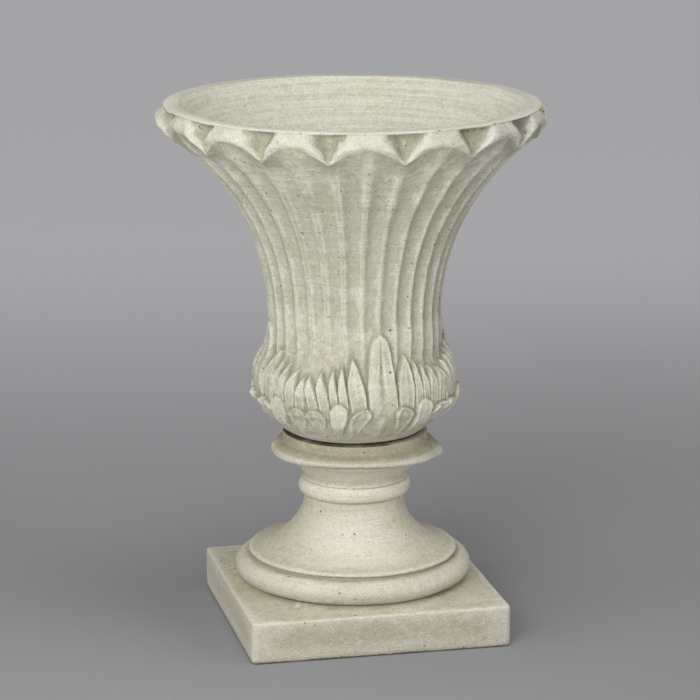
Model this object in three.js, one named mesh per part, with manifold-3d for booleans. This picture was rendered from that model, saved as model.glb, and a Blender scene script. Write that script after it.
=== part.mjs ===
// A cast stone garden urn, made as two castings that are set one on the other.
// The bowl has a lobed rim, a fluted flare and a bulb wrapped in acanthus leaves.
// It rests on three thin pads on the collar of a turned pedestal with a square plinth.
// A drain tube stands in the bores of both castings and keeps the bowl on centre.
// Millimetres, Z up. The origin is the middle of the plinth's underside, and the front looks along -Y.

import * as THREE from 'three';
import { mergeVertices } from 'three/addons/utils/BufferGeometryUtils.js';
import Module from 'manifold-3d';

// Plinth
const PLINTH_SIDE = 305;
const PLINTH_HEIGHT = 49;
const PLINTH_CORNER_RADIUS = 9;
const PLINTH_EDGE_RADIUS = 3;

// Turned part of the pedestal, from the plinth upward
const FOOT_STEP_RADIUS = 124;
const FOOT_STEP_HEIGHT = 5.5;
const TORUS_RADIUS = 140.6;
const TORUS_HEIGHT = 29;
const BELL_RADIUS = 126.5;
const BELL_EDGE_HEIGHT = 4;
const BELL_HEIGHT = 62;
const NECK_RADIUS = 59.6;
const NECK_LENGTH = 7.5;
const ASTRAGAL_RADIUS = 66.5;
const ASTRAGAL_HEIGHT = 18;
const UPPER_NECK_RADIUS = 61.8;
const CAVETTO_HEIGHT = 31;
const CAVETTO_RADIUS = 91;
const COLLAR_RADIUS = 99.5;
const COLLAR_LIP_HEIGHT = 15.5;
const UPSTAND_RADIUS = 86.4;
const UPSTAND_HEIGHT = 11;
const UPSTAND_EDGE_RADIUS = 2;

// Bowl, with heights taken from its own underside
const BOWL_HEIGHT = 389;
const BOWL_FOOT_RADIUS = 79;
const BULB_RADIUS = 116;
const BULB_HEIGHT = 49;
const SHOULDER_HEIGHT = 106;
const WAIST_RADIUS = 101.4;
const WAIST_HEIGHT = 140;
const FLUTE_DEPTH_AT_WAIST = 4;
const FLUTE_DEPTH_AT_FLARE = 8.5;

// Rim of the bowl
const RIM_RADIUS = 219.2;
const LIP_WIDTH = 18.2;
const LIP_THICKNESS = 2;
const LOBE_OVERHANG = 7.3;
const LOBE_RADIUS = RIM_RADIUS + LOBE_OVERHANG;
const LOBE_TIP_SETBACK = 7.2;
const LOBE_TIP_RADIUS = RIM_RADIUS - LOBE_TIP_SETBACK;
const LOBE_TIP_LEDGE = 1.4;
const LOBE_ARCH_OVERHANG = 2.8;
const LOBE_ARCH_RADIUS = RIM_RADIUS + LOBE_ARCH_OVERHANG;
const CUFF_DROP = 37;
const ARCH_DROP = 19;
const SCOOP_BACK_SETBACK = 11.2;
const SCOOP_BACK_RADIUS = RIM_RADIUS - SCOOP_BACK_SETBACK;

// Inside of the bowl
const WALL_THICKNESS = 23.4;
const FLOOR_THICKNESS = 42;
const FLOOR_COVE_RADIUS = 18;

// Acanthus leaves
const LEAF_RELIEF = 8;
const LOW_LEAF_RELIEF = 6.5;
const LEAF_ROOT_DEPTH = 5;
const TALL_LEAF_WIDTH = 35;
const TALL_LEAF_BASE = 14;
const TALL_LEAF_LENGTH = 118;
const SIDE_LEAF_WIDTH = 20;
const SIDE_LEAF_BASE = 48;
const SIDE_LEAF_LENGTH = 60;
const LOW_LEAF_WIDTH = 24;
const LOW_LEAF_BASE = 25;
const LOW_LEAF_LENGTH = 33;

// Drain tube and setting pads
const TUBE_RADIUS = 16;
const TUBE_WALL = 2.5;
const TUBE_SEAT_DEPTH = 70;
const TUBE_TOP_DROP = 3;
const TUBE_CLEARANCE = 0.6;
const PAD_RADIUS = 11;
const PAD_THICKNESS = 2;
const PAD_CIRCLE_RADIUS = 50;
const REST_GAP = 0.3;

// How far a cutting shape reaches past the face that it cuts, and a joining shape into its neighbour
const OVERRUN = 5;

// Counts and turns
const FLUTE_COUNT = 32;
const LOBE_COUNT = 16;
const LEAF_GROUP_COUNT = 4;
const PAD_COUNT = 3;
const PAD_TURN = Math.PI / 3;
const BOWL_TURN = THREE.MathUtils.degToRad(3.4);
const COLUMNS_PER_FLUTE = 4;
const PEDESTAL_SIDES = 48;
const BULB_SIDES = 48;
const CAVITY_SIDES = 40;
const BORE_SIDES = 24;
const TORUS_STEPS = 6;
const BELL_STEPS = 6;
const ASTRAGAL_STEPS = 5;
const CAVETTO_STEPS = 4;
const CORNER_STEPS = 4;
const EDGE_STEPS = 2;
const UNDERSIDE_STEPS = 5;
const SHOULDER_STEPS = 6;
const FLARE_STEPS = 9;
const CAVITY_STEPS = 8;
const COVE_STEPS = 3;

// Finishes of the cast stone, the tube and the pads
const bowlStone = new THREE.MeshStandardMaterial({ color: 0xcfcdbc, roughness: 0.9, metalness: 0 });
const pedestalStone = new THREE.MeshStandardMaterial({ color: 0xd2ccb9, roughness: 0.9, metalness: 0 });
const tubePlastic = new THREE.MeshStandardMaterial({ color: 0x8c8f92, roughness: 0.5, metalness: 0 });
const padRubber = new THREE.MeshStandardMaterial({ color: 0x2b2a28, roughness: 0.8, metalness: 0 });

// Heights that follow from the sizes
const torusTop = PLINTH_HEIGHT + FOOT_STEP_HEIGHT + TORUS_HEIGHT;
const neckHeight = torusTop + BELL_EDGE_HEIGHT + BELL_HEIGHT;
const astragalBottom = neckHeight + NECK_LENGTH;
const upperNeckHeight = astragalBottom + ASTRAGAL_HEIGHT;
const lipBottom = upperNeckHeight + CAVETTO_HEIGHT;
const pedestalTop = lipBottom + COLLAR_LIP_HEIGHT + UPSTAND_HEIGHT;
const bowlBase = pedestalTop + REST_GAP + PAD_THICKNESS + REST_GAP;
const tubeBase = pedestalTop - TUBE_SEAT_DEPTH;
const tubeTop = bowlBase + FLOOR_THICKNESS - TUBE_TOP_DROP;
const tubeInnerRadius = TUBE_RADIUS - TUBE_WALL;
const boreRadius = TUBE_RADIUS + TUBE_CLEARANCE;
const cavityRadius = WAIST_RADIUS - WALL_THICKNESS;
const mouthRadius = RIM_RADIUS - LIP_WIDTH;
const shoulderRadius = WAIST_RADIUS - FLUTE_DEPTH_AT_WAIST;
const flareTop = BOWL_HEIGHT - CUFF_DROP;
const flareTopRadius = LOBE_TIP_RADIUS - LOBE_TIP_LEDGE;
const archHeight = BOWL_HEIGHT - ARCH_DROP;

// The library that joins and cuts solids
const wasm = await Module();
wasm.setup();

// A closed geometry as a solid, with its shared corners merged and its empty triangles left out
function toSolid(geometry) {
  const bare = geometry.clone();
  bare.deleteAttribute('normal');
  bare.deleteAttribute('uv');
  const merged = mergeVertices(bare);
  const index = merged.index.array;
  const triangles = [];
  for (let i = 0; i < index.length; i += 3) {
    const [a, b, c] = [index[i], index[i + 1], index[i + 2]];
    if (a !== b && b !== c && c !== a) triangles.push(a, b, c);
  }
  const vertProperties = new Float32Array(merged.attributes.position.array);
  const triVerts = new Uint32Array(triangles);
  return new wasm.Manifold(new wasm.Mesh({ numProp: 3, vertProperties, triVerts }));
}

// A solid as a geometry that a mesh can show
function toGeometry(solid) {
  const mesh = solid.getMesh();
  const geometry = new THREE.BufferGeometry();
  geometry.setAttribute('position', new THREE.BufferAttribute(mesh.vertProperties, 3));
  geometry.setIndex(new THREE.BufferAttribute(mesh.triVerts, 1));
  geometry.computeVertexNormals();
  return geometry;
}

// A named mesh of one solid
function part(name, solid, material) {
  const mesh = new THREE.Mesh(toGeometry(solid), material);
  mesh.name = name;
  return mesh;
}

// An outline of radius and height turned about the upright axis, as a geometry
function turned(outline, sides) {
  return new THREE.LatheGeometry(outline, sides).rotateX(Math.PI / 2);
}

// A plain cylinder between two heights, made by turning its outline
function cylinder(radius, low, high) {
  const outline = [
    new THREE.Vector2(0, low),
    new THREE.Vector2(radius, low),
    new THREE.Vector2(radius, high),
    new THREE.Vector2(0, high),
  ];
  return toSolid(turned(outline, BORE_SIDES));
}

// The radius of an outline at a height, read between its points
function radiusAt(points, height) {
  for (let i = 1; i < points.length; i += 1) {
    const [low, high] = [points[i - 1], points[i]];
    if (height <= high.y) {
      const share = THREE.MathUtils.clamp((height - low.y) / (high.y - low.y), 0, 1);
      return THREE.MathUtils.lerp(low.x, high.x, share);
    }
  }
  return points[points.length - 1].x;
}

// A smooth run between two points whose ends leave and arrive along given shares of the way
function easedRun(start, end, firstShares, secondShares, steps) {
  const between = (shares) => new THREE.Vector2(
    THREE.MathUtils.lerp(start.x, end.x, shares[0]),
    THREE.MathUtils.lerp(start.y, end.y, shares[1]),
  );
  return new THREE.CubicBezierCurve(start, between(firstShares), between(secondShares), end).getPoints(steps);
}

// A half round that swells outward between two heights at one radius
function halfRound(innerRadius, outerRadius, low, high, steps) {
  const middle = (low + high) / 2;
  const swell = new THREE.EllipseCurve(
    innerRadius, middle, outerRadius - innerRadius, (high - low) / 2, -Math.PI / 2, Math.PI / 2);
  return swell.getPoints(steps);
}

// Shares of radius and height that shape the bell, the hollow under the collar and the collar's lip
const BELL_START_SHARES = [0.366, 0.167];
const BELL_END_SHARES = [0.949, 0.405];
const CAVETTO_START_SHARES = [0.02, 0.42];
const CAVETTO_END_SHARES = [0.53, 0.78];
const LIP_WIDEST_SHARE = 0.3;
const LIP_SHOULDER_SHARE = 0.7;
const CREASE_OFFSET_SHARE = 0.12;

// Outline of the torus, the bell with its small square edge, and the neck
function footOutline() {
  const torusInner = TORUS_RADIUS - TORUS_HEIGHT / 2;
  const bellStart = new THREE.Vector2(BELL_RADIUS, torusTop + BELL_EDGE_HEIGHT);
  const bellEnd = new THREE.Vector2(NECK_RADIUS, neckHeight);
  return [
    new THREE.Vector2(FOOT_STEP_RADIUS, PLINTH_HEIGHT - OVERRUN),
    new THREE.Vector2(FOOT_STEP_RADIUS, PLINTH_HEIGHT + FOOT_STEP_HEIGHT),
    ...halfRound(torusInner, TORUS_RADIUS, PLINTH_HEIGHT + FOOT_STEP_HEIGHT, torusTop, TORUS_STEPS),
    new THREE.Vector2(BELL_RADIUS, torusTop),
    ...easedRun(bellStart, bellEnd, BELL_START_SHARES, BELL_END_SHARES, BELL_STEPS),
  ];
}

// Outline of the astragal, the hollow above it, and the collar that carries the bowl
function collarOutline() {
  const creaseHeight = lipBottom + COLLAR_LIP_HEIGHT;
  const widestHeight = THREE.MathUtils.lerp(lipBottom, creaseHeight, LIP_WIDEST_SHARE);
  const widest = new THREE.Vector2(COLLAR_RADIUS, widestHeight);
  const shoulder = THREE.MathUtils.lerp(UPSTAND_RADIUS, COLLAR_RADIUS, LIP_SHOULDER_SHARE);
  const shoulderHeight = (widest.y + creaseHeight) / 2;
  const crease = THREE.MathUtils.lerp(UPSTAND_RADIUS, COLLAR_RADIUS, CREASE_OFFSET_SHARE);
  const hollowStart = new THREE.Vector2(UPPER_NECK_RADIUS, upperNeckHeight);
  const hollowEnd = new THREE.Vector2(CAVETTO_RADIUS, lipBottom);
  return [
    ...halfRound(NECK_RADIUS, ASTRAGAL_RADIUS, astragalBottom, upperNeckHeight, ASTRAGAL_STEPS),
    ...easedRun(hollowStart, hollowEnd, CAVETTO_START_SHARES, CAVETTO_END_SHARES, CAVETTO_STEPS),
    new THREE.Vector2((CAVETTO_RADIUS + COLLAR_RADIUS) / 2, (lipBottom + widest.y) / 2),
    widest,
    new THREE.Vector2(shoulder, shoulderHeight),
    new THREE.Vector2(crease, creaseHeight),
    new THREE.Vector2(UPSTAND_RADIUS, pedestalTop - UPSTAND_EDGE_RADIUS),
    new THREE.Vector2(UPSTAND_RADIUS - UPSTAND_EDGE_RADIUS, pedestalTop),
  ];
}

// Square plinth with rounded corners and softened edges
function plinthSolid() {
  const half = PLINTH_SIDE / 2;
  const inner = half - PLINTH_CORNER_RADIUS;
  const shape = new THREE.Shape();
  shape.absarc(inner, -inner, PLINTH_CORNER_RADIUS, -Math.PI / 2, 0);
  shape.absarc(inner, inner, PLINTH_CORNER_RADIUS, 0, Math.PI / 2);
  shape.absarc(-inner, inner, PLINTH_CORNER_RADIUS, Math.PI / 2, Math.PI);
  shape.absarc(-inner, -inner, PLINTH_CORNER_RADIUS, Math.PI, Math.PI * 1.5);
  const slab = new THREE.ExtrudeGeometry(shape, {
    depth: PLINTH_HEIGHT - PLINTH_EDGE_RADIUS * 2,
    bevelThickness: PLINTH_EDGE_RADIUS,
    bevelSize: PLINTH_EDGE_RADIUS,
    bevelOffset: -PLINTH_EDGE_RADIUS,
    bevelSegments: EDGE_STEPS,
    curveSegments: CORNER_STEPS,
  });
  return toSolid(slab.translate(0, 0, PLINTH_EDGE_RADIUS));
}

// The pedestal casting: plinth and turned stem in one, bored for the drain, with a step for the tube
function pedestalSolid() {
  const outline = [
    new THREE.Vector2(0, PLINTH_HEIGHT - OVERRUN),
    ...footOutline(),
    ...collarOutline(),
    new THREE.Vector2(0, pedestalTop),
  ];
  const stem = toSolid(turned(outline, PEDESTAL_SIDES));
  const drain = cylinder(tubeInnerRadius, -OVERRUN, pedestalTop + OVERRUN);
  const socket = cylinder(boreRadius, tubeBase - REST_GAP, pedestalTop + OVERRUN);
  return plinthSolid().add(stem).subtract(drain).subtract(socket);
}

// Shares that shape the bowl's underside, shoulder, flare and cavity
const UNDERSIDE_START_SHARES = [0.35, 0.2];
const UNDERSIDE_END_SHARES = [1, 0.6];
const SHOULDER_START_SHARES = [0, 0.45];
const SHOULDER_END_SHARES = [0.75, 0.75];
const FLARE_START_SHARES = [0, 0.48];
const FLARE_END_SHARES = [0.503, 0.804];
const CAVITY_START_SHARES = [0, 0.4];
const CAVITY_END_SHARES = [0.585, 0.763];
const CUFF_SLOPE_SHARE = 0.5;

// Outline of the round bulb, from the bowl's foot to where its shoulder meets the bottoms of the flutes
const bulbOutline = [
  ...easedRun(new THREE.Vector2(BOWL_FOOT_RADIUS, 0), new THREE.Vector2(BULB_RADIUS, BULB_HEIGHT),
    UNDERSIDE_START_SHARES, UNDERSIDE_END_SHARES, UNDERSIDE_STEPS),
  ...easedRun(new THREE.Vector2(BULB_RADIUS, BULB_HEIGHT), new THREE.Vector2(shoulderRadius, SHOULDER_HEIGHT),
    SHOULDER_START_SHARES, SHOULDER_END_SHARES, SHOULDER_STEPS).slice(1),
];

// Outline of the ridges between the flutes, from the waist to the underside of the rim
const flareOutline = [
  ...easedRun(new THREE.Vector2(WAIST_RADIUS, WAIST_HEIGHT), new THREE.Vector2(flareTopRadius, flareTop),
    FLARE_START_SHARES, FLARE_END_SHARES, FLARE_STEPS),
  new THREE.Vector2(flareTopRadius + (archHeight - flareTop) * CUFF_SLOPE_SHARE, archHeight),
];

// Radius of the ridges at a height: upright below the waist, flaring above it
function ridgeRadius(height) {
  return height <= WAIST_HEIGHT ? WAIST_RADIUS : radiusAt(flareOutline, height);
}

// Radius of the bowl's skin before the leaves are laid on it
function skinRadius(height) {
  return Math.max(radiusAt(bulbOutline, height), ridgeRadius(height));
}

// Depth of a flute at a height and at an angle, none on its ridges and full in its middle
const FLUTE_SHAPE_POWER = 2.2;
function fluteDepth(height, angle) {
  const share = THREE.MathUtils.clamp((height - WAIST_HEIGHT) / (flareTop - WAIST_HEIGHT), 0, 1);
  const full = THREE.MathUtils.lerp(FLUTE_DEPTH_AT_WAIST, FLUTE_DEPTH_AT_FLARE, share);
  const turns = angle * FLUTE_COUNT / (Math.PI * 2);
  const across = Math.abs((turns - Math.floor(turns)) * 2 - 1);
  return full * (1 - across ** FLUTE_SHAPE_POWER);
}

// How far an angle lies from the nearest lobe tip: 0 at the tip, 1 at the middle of a lobe
function lobeShare(angle) {
  const turns = angle * LOBE_COUNT / (Math.PI * 2);
  return Math.abs(turns - Math.round(turns)) * 2;
}

// Shares of the cuff's height at which its rows lie, and of a lobe's swell on each row
const CUFF_ROW_SHARES = [0.35, 0.65, 0.9];
const LOBE_SWELL_SHARES = [0.85, 1, 0.75];
const SCOOP_WIDTH_SHARE = 0.66;
const ARCH_UNDERCUT_SHARE = 0.2;

// Points of the rim at one angle, from the top of the flutes over the lobes and the lip to the flat rim
function rimPoints(angle) {
  const share = lobeShare(angle);
  const archRise = Math.sin(share * Math.PI / 2);
  const edgeHeight = THREE.MathUtils.lerp(flareTop, archHeight, archRise);
  const edgeRadius = THREE.MathUtils.lerp(LOBE_TIP_RADIUS, LOBE_ARCH_RADIUS, archRise);
  const lipBase = BOWL_HEIGHT - LIP_THICKNESS;
  const undercut = edgeHeight - ARCH_DROP * ARCH_UNDERCUT_SHARE;
  const points = [
    new THREE.Vector2(ridgeRadius(undercut) - fluteDepth(undercut, angle), undercut),
    new THREE.Vector2(edgeRadius, edgeHeight),
  ];
  CUFF_ROW_SHARES.forEach((rowShare, row) => {
    const height = THREE.MathUtils.lerp(edgeHeight, lipBase, rowShare);
    const swollen = THREE.MathUtils.lerp(LOBE_ARCH_RADIUS, LOBE_RADIUS, LOBE_SWELL_SHARES[row]);
    const rise = (height - flareTop) / (lipBase - flareTop);
    const inScoop = THREE.MathUtils.smoothstep(share, SCOOP_WIDTH_SHARE * rise / 2, SCOOP_WIDTH_SHARE * rise);
    points.push(new THREE.Vector2(THREE.MathUtils.lerp(SCOOP_BACK_RADIUS, swollen, inScoop), height));
  });
  points.push(new THREE.Vector2(RIM_RADIUS, lipBase), new THREE.Vector2(RIM_RADIUS, BOWL_HEIGHT));
  return points;
}

// Points of the fluted flare at one angle, from inside the bulb to just under the rim
const FLARE_ROW_SHARES = [0, 0.22, 0.43, 0.62, 0.78, 0.92];
function flarePoints(angle) {
  const root = BULB_HEIGHT;
  const ridge = (height) => new THREE.Vector2(ridgeRadius(height) - fluteDepth(height, angle), height);
  const rows = FLARE_ROW_SHARES.map((share) => ridge(THREE.MathUtils.lerp(WAIST_HEIGHT, flareTop, share)));
  const [bottom, top] = [new THREE.Vector2(0, root), new THREE.Vector2(0, BOWL_HEIGHT)];
  return [bottom, ridge(root), ...rows, ...rimPoints(angle), top];
}

// The fluted flare and rim: a turned blank whose columns each take the outline of their own angle
function flareSolid() {
  const columns = FLUTE_COUNT * COLUMNS_PER_FLUTE;
  const blank = turned(flarePoints(0), columns);
  const position = blank.attributes.position;
  const rows = flarePoints(0).length;
  for (let column = 0; column <= columns; column += 1) {
    const angle = (column % columns) / columns * Math.PI * 2;
    flarePoints(angle).forEach((point, row) => {
      position.setXYZ(column * rows + row, point.x * Math.sin(angle), -point.x * Math.cos(angle), point.y);
    });
  }
  return toSolid(blank);
}

// The round bulb that carries the leaves
function bulbSolid() {
  const outline = [new THREE.Vector2(0, 0), ...bulbOutline, new THREE.Vector2(0, SHOULDER_HEIGHT)];
  return toSolid(turned(outline, BULB_SIDES));
}

// Space inside the bowl, from its floor with a rounded corner up through the mouth
function cavitySolid() {
  const corner = new THREE.EllipseCurve(cavityRadius - FLOOR_COVE_RADIUS, FLOOR_THICKNESS + FLOOR_COVE_RADIUS,
    FLOOR_COVE_RADIUS, FLOOR_COVE_RADIUS, -Math.PI / 2, 0);
  const outline = [
    new THREE.Vector2(0, FLOOR_THICKNESS),
    ...corner.getPoints(COVE_STEPS),
    ...easedRun(new THREE.Vector2(cavityRadius, WAIST_HEIGHT), new THREE.Vector2(mouthRadius, BOWL_HEIGHT),
      CAVITY_START_SHARES, CAVITY_END_SHARES, CAVITY_STEPS),
    new THREE.Vector2(mouthRadius, BOWL_HEIGHT + OVERRUN),
    new THREE.Vector2(0, BOWL_HEIGHT + OVERRUN),
  ];
  return toSolid(turned(outline, CAVITY_SIDES));
}

// Half widths of a leaf from its base to its tip, as shares of its full half width at even steps
const TALL_LEAF_SHARES = [0.95, 0.87, 0.88, 1, 1, 0.92, 0.72, 0.25];
const SIDE_LEAF_SHARES = [0.85, 1, 0.95, 0.6, 0.1];
const LOW_LEAF_SHARES = [0.5, 1, 0.95, 0.35];

// Relief of a leaf along its length and across its width, as shares of the full relief
const LEAF_RISE_SHARES = [0.3, 0.65, 0.85, 1, 0.95, 0.45];
const LOW_LEAF_RISE_SHARES = [0.3, 0.8, 1, 1];
const GROOVED_CROWN_SHARES = [0.1, 1, 0.6, 1, 0.1];
const RIDGED_CROWN_SHARES = [0.2, 1, 0.2];

// The value of a list of shares at a point from 0 to 1 along it
function shareAlong(shares, along) {
  const place = along * (shares.length - 1);
  const low = Math.min(Math.floor(place), shares.length - 2);
  return THREE.MathUtils.lerp(shares[low], shares[low + 1], place - low);
}

// One leaf laid on the skin: a slab whose face follows the bowl and whose back is buried in it
function leafSolid({ angle, width, base, length, lean, relief, outline, crown, rise }) {
  const slab = new THREE.BoxGeometry(1, 1, 1, crown.length - 1, outline.length - 1, 1);
  const position = slab.attributes.position;
  for (let i = 0; i < position.count; i += 1) {
    const [across, along] = [position.getX(i), position.getY(i) + 0.5];
    const height = base + length * along;
    const skin = skinRadius(height);
    const face = skin + relief * shareAlong(crown, across + 0.5) * shareAlong(rise, along);
    const radius = position.getZ(i) > 0 ? face : skin - FLUTE_DEPTH_AT_WAIST - LEAF_ROOT_DEPTH;
    const turn = angle + (across * width * shareAlong(outline, along) + lean * along ** 2) / skin;
    position.setXYZ(i, radius * Math.sin(turn), -radius * Math.cos(turn), height);
  }
  return toSolid(slab);
}

// Side leaves and low leaves on each side of a tall one. Each line gives an angle in degrees from the tall
// leaf, then shares of width and length, and a lean away from it as a share of the width.
const SIDE_LEAVES = [
  [13.6, 1, 1, 0.35],
  [22.3, 0.6, 0.86, 0.3],
  [27.4, 0.6, 0.78, 0.35],
  [33.6, 0.8, 0.68, 0.4],
  [40.4, 0.75, 0.58, 0.4],
];
const LOW_LEAVES = [
  [12.8, 1, 0.75, -0.3],
  [25.2, 0.95, 1, 0],
  [37.6, 1, 0.75, 0.15],
];

// All leaves of one group: the tall leaf, and its side and low leaves on both sides
function leafGroup(centre) {
  const leaves = [leafSolid({
    angle: centre, width: TALL_LEAF_WIDTH, base: TALL_LEAF_BASE, length: TALL_LEAF_LENGTH, lean: 0,
    relief: LEAF_RELIEF, outline: TALL_LEAF_SHARES, crown: GROOVED_CROWN_SHARES, rise: LEAF_RISE_SHARES,
  })];
  for (const side of [-1, 1]) {
    const place = ([degrees]) => centre + side * THREE.MathUtils.degToRad(degrees);
    for (const line of SIDE_LEAVES) {
      leaves.push(leafSolid({
        angle: place(line), width: SIDE_LEAF_WIDTH * line[1], base: SIDE_LEAF_BASE,
        length: SIDE_LEAF_LENGTH * line[2], lean: side * SIDE_LEAF_WIDTH * line[3], relief: LEAF_RELIEF,
        outline: SIDE_LEAF_SHARES, crown: RIDGED_CROWN_SHARES, rise: LEAF_RISE_SHARES,
      }));
    }
    for (const line of LOW_LEAVES) {
      leaves.push(leafSolid({
        angle: place(line), width: LOW_LEAF_WIDTH * line[1], base: LOW_LEAF_BASE,
        length: LOW_LEAF_LENGTH * line[2], lean: side * LOW_LEAF_WIDTH * line[3], relief: LOW_LEAF_RELIEF,
        outline: LOW_LEAF_SHARES, crown: RIDGED_CROWN_SHARES, rise: LOW_LEAF_RISE_SHARES,
      }));
    }
  }
  return leaves;
}

// The bowl casting: bulb, flare and leaves in one, hollowed and bored for the tube
function bowlSolid() {
  const leaves = [];
  for (let group = 0; group < LEAF_GROUP_COUNT; group += 1) {
    leaves.push(...leafGroup(group / LEAF_GROUP_COUNT * Math.PI * 2));
  }
  const body = wasm.Manifold.union([bulbSolid(), flareSolid(), ...leaves]);
  const bore = cylinder(boreRadius, -OVERRUN, FLOOR_THICKNESS + OVERRUN);
  return body.subtract(cavitySolid()).subtract(bore);
}

// The drain tube that stands on the step in the pedestal and ends just under the bowl's floor
function tubeSolid() {
  const outer = cylinder(TUBE_RADIUS, tubeBase, tubeTop);
  const inner = cylinder(tubeInnerRadius, tubeBase - OVERRUN, tubeTop + OVERRUN);
  return outer.subtract(inner);
}

// One thin round pad, standing on the origin
function padSolid() {
  return cylinder(PAD_RADIUS, 0, PAD_THICKNESS);
}

// The whole urn
const urn = new THREE.Group();
urn.add(part('pedestal', pedestalSolid(), pedestalStone));
urn.add(part('drain_tube', tubeSolid(), tubePlastic));

for (let i = 0; i < PAD_COUNT; i += 1) {
  const turn = PAD_TURN + i / PAD_COUNT * Math.PI * 2;
  const pad = part(`setting_pad_${i + 1}`, padSolid(), padRubber);
  pad.position.x = PAD_CIRCLE_RADIUS * Math.sin(turn);
  pad.position.y = -PAD_CIRCLE_RADIUS * Math.cos(turn);
  pad.position.z = pedestalTop + REST_GAP;
  urn.add(pad);
}

const bowl = part('bowl', bowlSolid(), bowlStone);
bowl.position.z = bowlBase;
bowl.rotation.z = BOWL_TURN;
urn.add(bowl);

export default urn;
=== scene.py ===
# %% [markdown]
# # A cast stone garden urn
#
# The urn is two castings set one on the other: a pedestal with a square plinth, and a bowl
# whose bulb is wrapped in acanthus leaves and whose flare is fluted. Both came out of moulds,
# were touched up by hand and then given a thin pale wash that was rubbed off the broad faces.
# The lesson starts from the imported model, which fixes every size and place, and dresses it with
# finely modelled castings and a finish that has the grain, pinholes and wash of real cast stone.

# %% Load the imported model
import math

import bpy
import numpy as np
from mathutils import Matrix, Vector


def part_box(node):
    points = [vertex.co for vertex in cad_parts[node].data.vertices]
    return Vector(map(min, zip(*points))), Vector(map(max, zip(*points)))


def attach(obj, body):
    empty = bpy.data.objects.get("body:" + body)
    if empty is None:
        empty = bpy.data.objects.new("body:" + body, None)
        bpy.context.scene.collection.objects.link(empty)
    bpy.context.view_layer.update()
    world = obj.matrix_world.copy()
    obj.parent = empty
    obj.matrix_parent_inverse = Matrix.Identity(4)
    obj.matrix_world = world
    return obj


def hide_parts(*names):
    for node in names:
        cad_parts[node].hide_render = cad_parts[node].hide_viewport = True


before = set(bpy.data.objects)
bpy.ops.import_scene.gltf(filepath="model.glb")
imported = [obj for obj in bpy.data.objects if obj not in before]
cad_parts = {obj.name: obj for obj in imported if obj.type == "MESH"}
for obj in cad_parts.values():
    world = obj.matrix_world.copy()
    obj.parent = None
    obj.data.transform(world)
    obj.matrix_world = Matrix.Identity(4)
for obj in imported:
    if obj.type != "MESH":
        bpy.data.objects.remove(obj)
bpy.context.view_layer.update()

mm = 0.001
bowl_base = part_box("bowl")[0][2]
bowl_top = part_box("bowl")[1][2]
pedestal_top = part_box("pedestal")[1][2]
plinth_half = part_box("pedestal")[1][0]

# %% [markdown]
# ## Tools of the turner
#
# Everything round on this urn can be drawn as an outline and turned, just as a plasterer runs a
# zinc template round a core. In Blender the outline is a chain of vertices pulled out of one
# point with extrude, and spin is the turning. A lathe modifier would do too, but spin leaves plain
# rings and columns that later cells can carve one by one.

# %% Draw an outline and spin it
MERGE_GAP = 0.05 * mm


def use_only(piece):
    """Deselects all, then makes this piece the one that the operators act on."""
    bpy.ops.object.select_all(action="DESELECT")
    piece.select_set(True)
    bpy.context.view_layer.objects.active = piece


def around(radius, angle, height):
    """The point at an angle, which runs from the front (-Y) towards the right (+X)."""
    return (radius * math.sin(angle), -radius * math.cos(angle), height)


def spun(name, outline, columns, start=0.0):
    """Draws the outline, given as radius and height, at the start angle and spins it once round."""
    bpy.ops.object.select_all(action="DESELECT")
    places = [around(radius, start, height) for radius, height in outline]
    bpy.ops.mesh.primitive_plane_add(size=1 * mm, location=places[0])
    piece = bpy.context.object
    piece.name = piece.data.name = name
    bpy.ops.object.transform_apply()
    bpy.ops.object.mode_set(mode="EDIT")
    bpy.ops.mesh.merge(type="CENTER")
    for here, there in zip(places, places[1:]):
        step = tuple(b - a for a, b in zip(here, there))
        bpy.ops.mesh.extrude_vertices_move(TRANSFORM_OT_translate={"value": step})
    bpy.ops.mesh.select_all(action="SELECT")
    bpy.ops.mesh.spin(steps=columns, angle=math.tau, center=(0, 0, 0), axis=(0, 0, 1))
    bpy.ops.mesh.select_all(action="SELECT")
    bpy.ops.mesh.remove_doubles(threshold=MERGE_GAP)
    bpy.ops.mesh.normals_make_consistent(inside=False)
    bpy.ops.object.mode_set(mode="OBJECT")
    return piece


def face_outward(piece):
    """Turns all faces of a closed piece outwards."""
    use_only(piece)
    bpy.ops.object.mode_set(mode="EDIT")
    bpy.ops.mesh.select_all(action="SELECT")
    bpy.ops.mesh.normals_make_consistent(inside=False)
    bpy.ops.object.mode_set(mode="OBJECT")


print("outlines are merged where points lie closer than", round(MERGE_GAP / mm, 3), "mm")

# %% Read and move the points of a piece
def rows_of(items, field, width, kind=float):
    """One field of all items of a mesh, such as the places of its points, as rows of that width."""
    flat = np.empty(len(items) * width, kind)
    items.foreach_get(field, flat)
    return flat.reshape(-1, width)


def points_of(piece):
    """All points of a mesh as rows of x, y and z."""
    return rows_of(piece.data.vertices, "co", 3)


def place_points(piece, points):
    """Puts the points of a mesh where they are wanted."""
    piece.data.vertices.foreach_set("co", points.astype(np.float32).ravel())
    piece.data.update()


def reach_of(points):
    """Distance of each point from the axis."""
    return np.hypot(points[:, 0], points[:, 1])


def turn_of(points):
    """Angle of each point, from the front (-Y) towards the right (+X)."""
    return np.arctan2(points[:, 0], -points[:, 1])


def triangles_of(piece):
    """Number of triangles that a piece has once its faces are cut up."""
    return sum(len(face.vertices) - 2 for face in piece.data.polygons)


right_side = turn_of(np.array([[1, 0, 0]]))[0]
print("the right side lies", round(math.degrees(right_side)), "degrees from the front")

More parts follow.
